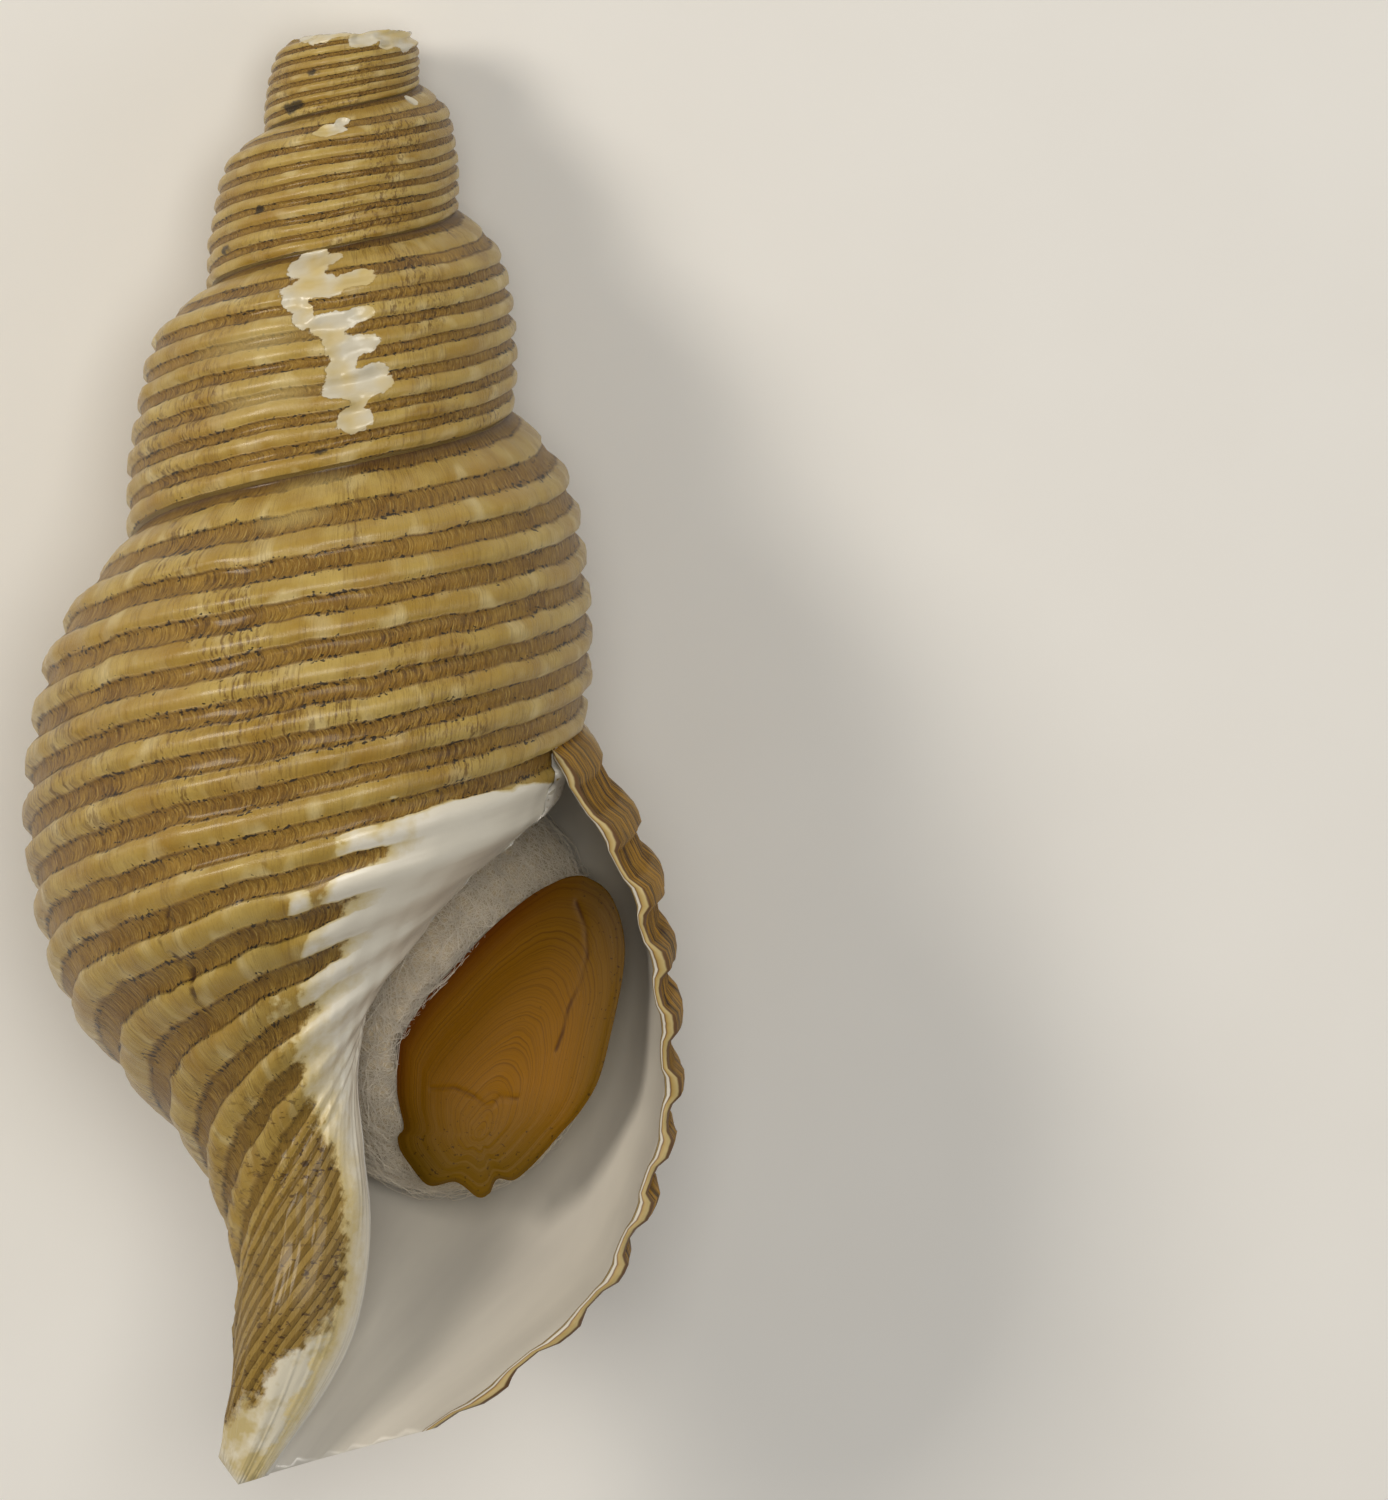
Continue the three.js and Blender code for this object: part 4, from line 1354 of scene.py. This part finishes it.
@dataclass
class Operculum:
    """The horny lid of the mouth: a thin domed plate with a ragged lower edge."""

    resting: Resting
    middle: tuple[float, float, float] = (12.45, 30.46, -4.4)
    slant: float = 0.22
    thickness: float = 0.72
    edge_thinning: float = 0.55
    dome: float = 0.5
    solid_thickness: float = 0.8
    solid_rings: tuple[float, ...] = (1, 0.66, 0.33, 0)
    nucleus: tuple[float, float] = (-1.6, -7.0)
    rings: int = 80
    boundary: int = 300
    fold_depth: float = 0.07
    fold_width: float = 0.17
    band_relief: float = 0.025
    nick_share: float = 0.022
    folds: tuple[tuple[tuple[float, float], ...], ...] = (
        ((4.6, 9.2), (5.3, 7.6), (5.5, 5.6), (5.1, 3.8), (4.3, 2.0), (3.9, 0.2), (3.5, -1.0)),
        ((-5.0, -3.9), (-3.4, -3.8), (-2.1, -4.3), (-1.2, -5.0), (-0.7, -4.9), (-0.3, -4.3), (0.9, -4.4)),
    )
    outline: tuple[tuple[float, float], ...] = (
        (5.3, 11.0), (6.9, 9.9), (7.9, 7.4), (8.0, 4.6), (7.3, 0.4), (6.5, -3.0), (5.3, -5.2), (4.1, -6.6),
        (2.1, -8.8), (0.9, -9.9), (-0.3, -10.1), (-0.8, -11.2), (-1.5, -11.2), (-3.1, -10.3), (-5.2, -10.7),
        (-6.7, -9.0), (-7.3, -7.5), (-6.9, -6.6), (-7.4, -4.2), (-7.4, -1.2), (-7.1, -0.2), (-5.5, 2.4),
        (-3.1, 5.2), (-1.1, 7.4), (1.3, 9.5), (2.9, 10.5), (4.1, 11.0),
    )

    def depth(self, x: Array, share: Array, front: bool) -> Array:
        """Height of a face above the plate's middle, at x and a share of the way out."""
        half = self.thickness / 2 if front else -self.thickness / 2
        thin = 1 - self.edge_thinning * smooth_step(share, 0.9, 1.0)
        return self.slant * x + self.dome * (1 - share**2) + half * thin

    def offset(self) -> Array:
        """Works out where the shell's frame lies, from the solid operculum in the frame.

        Returns:
            The row-frame place of the shell frame's origin, in millimetres.
        """
        flat = np.array(self.outline)
        corners = []
        for half in (self.solid_thickness / 2, -self.solid_thickness / 2):
            for share in self.solid_rings:
                x, y = flat[:, 0] * share, flat[:, 1] * share
                z = self.slant * x + self.dome * (1 - share**2) + half
                corners.append(np.stack([x, y, z], axis=1) + np.array(self.middle))
        turned = self.resting.turned(np.concatenate(corners))
        low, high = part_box("operculum")
        return np.array((low + high) / 2) / MM - (turned.min(0) + turned.max(0)) / 2

    def fold(self, flat: Array) -> Array:
        """Depth of the growth folds, drawn as short arcs.

        Args:
            flat: Places on the operculum.

        Returns:
            1 in a fold, falling to 0 beside it.
        """
        depth = np.zeros(len(flat))
        for path in self.folds:
            line = np.array(path)
            for start, end in zip(line, line[1:]):
                step = end - start
                along = np.clip(((flat - start) @ step) / (step @ step), 0, 1)[:, None]
                apart = np.linalg.norm(flat - start - along * step, axis=1)
                depth = np.maximum(depth, np.exp(-((apart / self.fold_width) ** 2)))
        return depth

    def smooth_outline(self) -> Array:
        """The outline as an even smooth loop with a finely ragged lower edge."""
        flat = np.array(self.outline)
        count = len(flat)
        at = np.linspace(0, count, self.boundary, endpoint=False)
        i = np.floor(at).astype(int)
        u = (at - i)[:, None]
        p0, p1, p2, p3 = (flat[(i + k) % count] for k in (-1, 0, 1, 2))
        loop = 0.5 * (2 * p1 + (p2 - p0) * u + (2 * p0 - 5 * p1 + 4 * p2 - p3) * u**2
                      + (3 * p1 - p0 - 3 * p2 + p3) * u**3)
        ragged = smooth_step(-loop[:, 1], 5.0, 9.0)[:, None]
        nick = 1 + self.nick_share * ragged * ripple(at * 0.9, 0.0, SEED + 11)[:, None]
        return loop * nick * 0.995

    def build(self, place: Array) -> bpy.types.Object:
        """Builds and dresses the operculum.

        Args:
            place: Row-frame place of the shell frame's origin, in millimetres.

        Returns:
            The operculum's object.
        """
        loop = self.smooth_outline()
        nucleus = np.array(self.nucleus)
        shares = 1 - (1 - np.linspace(0, 1, self.rings + 1)[1:]) ** 1.15
        points, lid, folds = [], [], []
        for front in (True, False):
            for share in shares:
                flat = nucleus + (loop - nucleus) * share
                relief = self.band_relief * ripple(share * 17, flat[:, 0] * 0.12, SEED + 12)
                fold = self.fold(flat) if front else np.zeros(len(flat))
                z = self.depth(flat[:, 0], share, front) + (relief - self.fold_depth * fold if front else 0)
                folds.append(fold)
                points.append(np.column_stack([flat, z]))
                lid.append(np.column_stack([flat, np.full(len(flat), share)]))
            z = self.depth(nucleus[0], 0.0, front)
            points.append(np.array([[nucleus[0], nucleus[1], z]]))
            lid.append(np.array([[nucleus[0], nucleus[1], 0.0]]))
            folds.append(np.zeros(1))
        size = len(loop)
        face_size = size * self.rings + 1
        edge = (self.rings - 1) * size
        faces = []
        for k in range(size):
            after = (k + 1) % size
            for side, first in ((1, 0), (-1, face_size)):
                for start in range(first, first + edge, size):
                    quad = [start + k, start + size + k, start + size + after, start + after]
                    faces.append(quad[::-side])
                faces.append([first + face_size - 1, first + k, first + after][::-side])
            faces.append([edge + k, edge + after, face_size + edge + after, face_size + edge + k])
        local = np.concatenate(points) + np.array(self.middle)
        row = (self.resting.turned(local) + place) * MM
        attributes = {"lid": np.concatenate(lid), "fold": np.concatenate(folds)}
        thing = object_from("horny_operculum", row, faces, attributes)
        mesh = bmesh.new()
        mesh.from_mesh(thing.data)
        bmesh.ops.recalc_face_normals(mesh, faces=mesh.faces[:])
        mesh.to_mesh(thing.data)
        mesh.free()
        thing.data.materials.append(HornFinish().material())
        shade_smooth(thing)
        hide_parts("operculum")
        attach(thing, "root")
        return thing


@dataclass
class CottonWad:
    """The wad of cotton wool behind the operculum, with loose fibres over its face."""

    node: bpy.types.Object
    voxel: float = 0.55
    shrink: float = 0.075
    softening: int = 6
    fluff: float = 0.18
    fibres: int = 3500
    steps: int = 10
    stride: float = 0.85
    fibre_radius: float = 0.024
    lowest: float = 0.10
    loft: float = 0.75
    curl: float = 0.22
    tremble: float = 0.12
    clearance: float = 0.25
    fewest_steps: int = 4

    def body(self) -> bpy.types.Object:
        """Builds the soft body of the wad from the space that its solid holds.

        Returns:
            The wad's object.
        """
        thing = bpy.data.objects.new("cotton_wad", self.node.data.copy())
        thing.data.materials.clear()
        bpy.context.scene.collection.objects.link(thing)
        remesh = thing.modifiers.new("even", "REMESH")
        remesh.mode = "VOXEL"
        remesh.voxel_size = self.voxel * MM
        soften = thing.modifiers.new("soften", "SMOOTH")
        soften.iterations = self.softening
        graph = bpy.context.evaluated_depsgraph_get()
        final = bpy.data.meshes.new_from_object(thing.evaluated_get(graph))
        thing.modifiers.clear()
        thing.data = final
        count = len(final.vertices)
        points = np.zeros(count * 3)
        normals = np.zeros(count * 3)
        final.vertices.foreach_get("co", points)
        final.vertex_normals.foreach_get("vector", normals)
        points, normals = points.reshape(-1, 3), normals.reshape(-1, 3)
        scaled = points / MM
        relief = ripple(scaled[:, 0] * 0.8, scaled[:, 1] * 0.8, SEED + 13) + 0.6 * ripple(
            scaled[:, 0] * 2.1, scaled[:, 1] * 2.1, SEED + 14)
        points = points + normals * ((relief * 0.5 - 0.8) * self.fluff - self.shrink)[:, None] * MM
        final.vertices.foreach_set("co", points.ravel())
        final.update()
        # The wad takes the darker, shaded copy of the cotton's colour.
        final.materials.append(CottonFinish().material("cotton_wool_carded_shaded"))
        shade_smooth(thing)
        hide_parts("cotton_wool")
        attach(thing, "root")
        return thing

    def loose_fibres(self, body: bpy.types.Object, away: BVHTree) -> bpy.types.Object:
        """Builds fine fibres that wander over the wad's face.

        Args:
            body: The wad.
            away: The operculum, which the fibres keep clear of.

        Returns:
            The fibres' object.
        """
        random = np.random.default_rng(SEED)
        surface = BVHTree.FromObject(body, bpy.context.evaluated_depsgraph_get())
        mesh = body.data
        facing = [p for p in mesh.polygons if p.normal.z > 0.05]
        points, faces = [], []
        for _ in range(self.fibres):
            polygon = facing[random.integers(len(facing))]
            place = polygon.center.copy()
            tangent = Vector(random.normal(size=3)).normalized()
            lift = (self.lowest + self.loft * random.random() ** 2) * MM
            turning = random.normal() * self.curl
            path = []
            for _ in range(self.steps):
                near, normal, _, _ = surface.find_nearest(place)
                if near is None:
                    break
                blocked = away.find_nearest(near)
                if blocked[0] is not None and blocked[3] < self.clearance * MM:
                    break
                tangent = (tangent - normal * tangent.dot(normal)).normalized()
                tangent.rotate(Matrix.Rotation(turning + random.normal() * self.tremble, 3, normal))
                path.append((near + normal * lift, tangent.copy(), normal.copy()))
                place = near + tangent * self.stride * MM
            if len(path) < self.fewest_steps:
                continue
            first = len(points)
            for index, (centre, direction, normal) in enumerate(path):
                across = direction.cross(normal).normalized()
                thin = self.fibre_radius * MM * (1 - 0.6 * abs(2 * index / (len(path) - 1) - 1))
                for corner in range(3):
                    turn = corner * TAU / 3
                    points.append(centre + (across * math.cos(turn) + normal * math.sin(turn)) * thin)
            for index in range(len(path) - 1):
                for corner in range(3):
                    a, b = first + index * 3 + corner, first + index * 3 + (corner + 1) % 3
                    faces.append([a, b, b + 3, a + 3])
            faces.append([first, first + 2, first + 1])
            end = first + (len(path) - 1) * 3
            faces.append([end, end + 1, end + 2])
        thing = object_from("cotton_fibres", np.array([tuple(p) for p in points]), faces)
        # The fibres take a lighter copy of the cotton: painted highlight on fibres lying over the shaded wad.
        thing.data.materials.append(CottonFinish(colour="FBF1DF").material("cotton_fibre_bleached_lit"))
        shade_smooth(thing)
        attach(thing, "root")
        return thing


@dataclass
class Studio:
    """The pale table, the soft lamps and the camera above the mouth."""

    resting: Resting
    place: Array
    roll: float = math.radians(1.72)
    pixel_mm: float = 0.0685
    frame_pixels: tuple[int, int] = (1388, 1500)
    shell_origin_pixel: tuple[float, float] = (310.0, 1474.0)
    distance_mm: float = 1300.0
    sensor_mm: float = 36.0
    table_half: float = 1.6
    aim: tuple[float, float, float] = (0.0, 0.0, 0.015)

    def table(self) -> bpy.types.Object:
        """Builds the table top as a wide flat board.

        Returns:
            The table's object.
        """
        rows = np.linspace(-self.table_half, self.table_half, 9)
        x, y = np.meshgrid(rows, rows, indexing="ij")
        points = np.stack([x, y, np.zeros_like(x)], axis=-1).reshape(-1, 3)
        numbers = np.arange(len(points)).reshape(x.shape)
        quads = np.stack([numbers[:-1, :-1], numbers[1:, :-1], numbers[1:, 1:], numbers[:-1, 1:]], axis=-1)
        board = object_from("table", points, quads.reshape(-1, 4).tolist())
        board.data.materials.append(TableFinish().material())
        return board

    def lamp(self, name: str, place: tuple[float, float, float], size: float, power: float,
             colour: str) -> None:
        """Adds a soft square lamp that looks at the shell.

        Args:
            name: The lamp's name.
            place: Where it hangs, in metres.
            size: Its side, in metres.
            power: Its power, in watts.
            colour: Its colour.
        """
        data = bpy.data.lights.new(name, "AREA")
        data.size = size
        data.energy = power
        data.color = linear(colour)[:3]
        lamp = bpy.data.objects.new(name, data)
        lamp.location = place
        lamp.rotation_euler = (Vector(self.aim) - Vector(place)).to_track_quat("-Z", "Y").to_euler()
        bpy.context.scene.collection.objects.link(lamp)

    def lights(self) -> None:
        """Hangs the lamps and sets the pale surroundings."""
        self.lamp("key_left", (-0.86, 0.50, 0.86), 0.40, 7.6, "FFF6E8")
        self.lamp("overhead", (0.12, 0.42, 1.16), 0.55, 5.6, "FFFCF4")
        self.lamp("fill_right", (0.85, -0.10, 0.75), 0.60, 1.0, "F8F8FF")
        world = bpy.data.worlds.new("pale_room")
        world.use_nodes = True
        world.node_tree.nodes["Background"].inputs["Color"].default_value = linear("F6F2EC")
        world.node_tree.nodes["Background"].inputs["Strength"].default_value = 0.2
        bpy.context.scene.world = world
        bpy.context.scene.view_settings.view_transform = "Standard"

    def camera(self) -> None:
        """Sets the camera square to the mouth side, with the shell in the left half of the frame."""
        c, s = math.cos(self.roll), math.sin(self.roll)
        right = self.resting.turned(np.array([c, s, 0.0]))
        up = self.resting.turned(np.array([-s, c, 0.0]))
        back = self.resting.turned(np.array([0.0, 0.0, 1.0]))
        across = (self.frame_pixels[0] / 2 - self.shell_origin_pixel[0]) * self.pixel_mm
        above = (self.shell_origin_pixel[1] - self.frame_pixels[1] / 2) * self.pixel_mm
        target = self.place + right * across + up * above
        data = bpy.data.cameras.new("camera")
        data.sensor_width = self.sensor_mm
        data.lens = self.sensor_mm * self.distance_mm / (self.frame_pixels[1] * self.pixel_mm)
        data.clip_start = 0.01
        data.clip_end = 20.0
        camera = bpy.data.objects.new("camera", data)
        location = (target + back * self.distance_mm) * MM
        matrix = Matrix([[right[i], up[i], back[i], location[i]] for i in range(3)] + [[0, 0, 0, 1]])
        camera.matrix_world = matrix
        bpy.context.scene.collection.objects.link(camera)
        bpy.context.scene.camera = camera


def main() -> None:
    """Builds the shell, the operculum, the cotton wool and the studio in order."""
    logging.basicConfig(level=logging.INFO, format="%(message)s")
    resting = Resting()
    operculum = Operculum(resting)
    place = operculum.offset()
    LOG.info("shell frame's origin in the row frame: %s mm", np.round(place, 3).tolist())
    shell = Shell(Coil(), Cords(), place, resting).build()
    LOG.info("shell: %d faces", len(shell.data.polygons))
    lid = operculum.build(place)
    LOG.info("operculum: %d faces", len(lid.data.polygons))
    wad = CottonWad(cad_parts["cotton_wool"])
    body = wad.body()
    LOG.info("cotton wad: %d faces", len(body.data.polygons))
    fibres = wad.loose_fibres(body, BVHTree.FromObject(lid, bpy.context.evaluated_depsgraph_get()))
    LOG.info("cotton fibres: %d faces", len(fibres.data.polygons))
    studio = Studio(resting, place)
    studio.table()
    studio.lights()
    studio.camera()


if __name__ == "__main__":
    main()
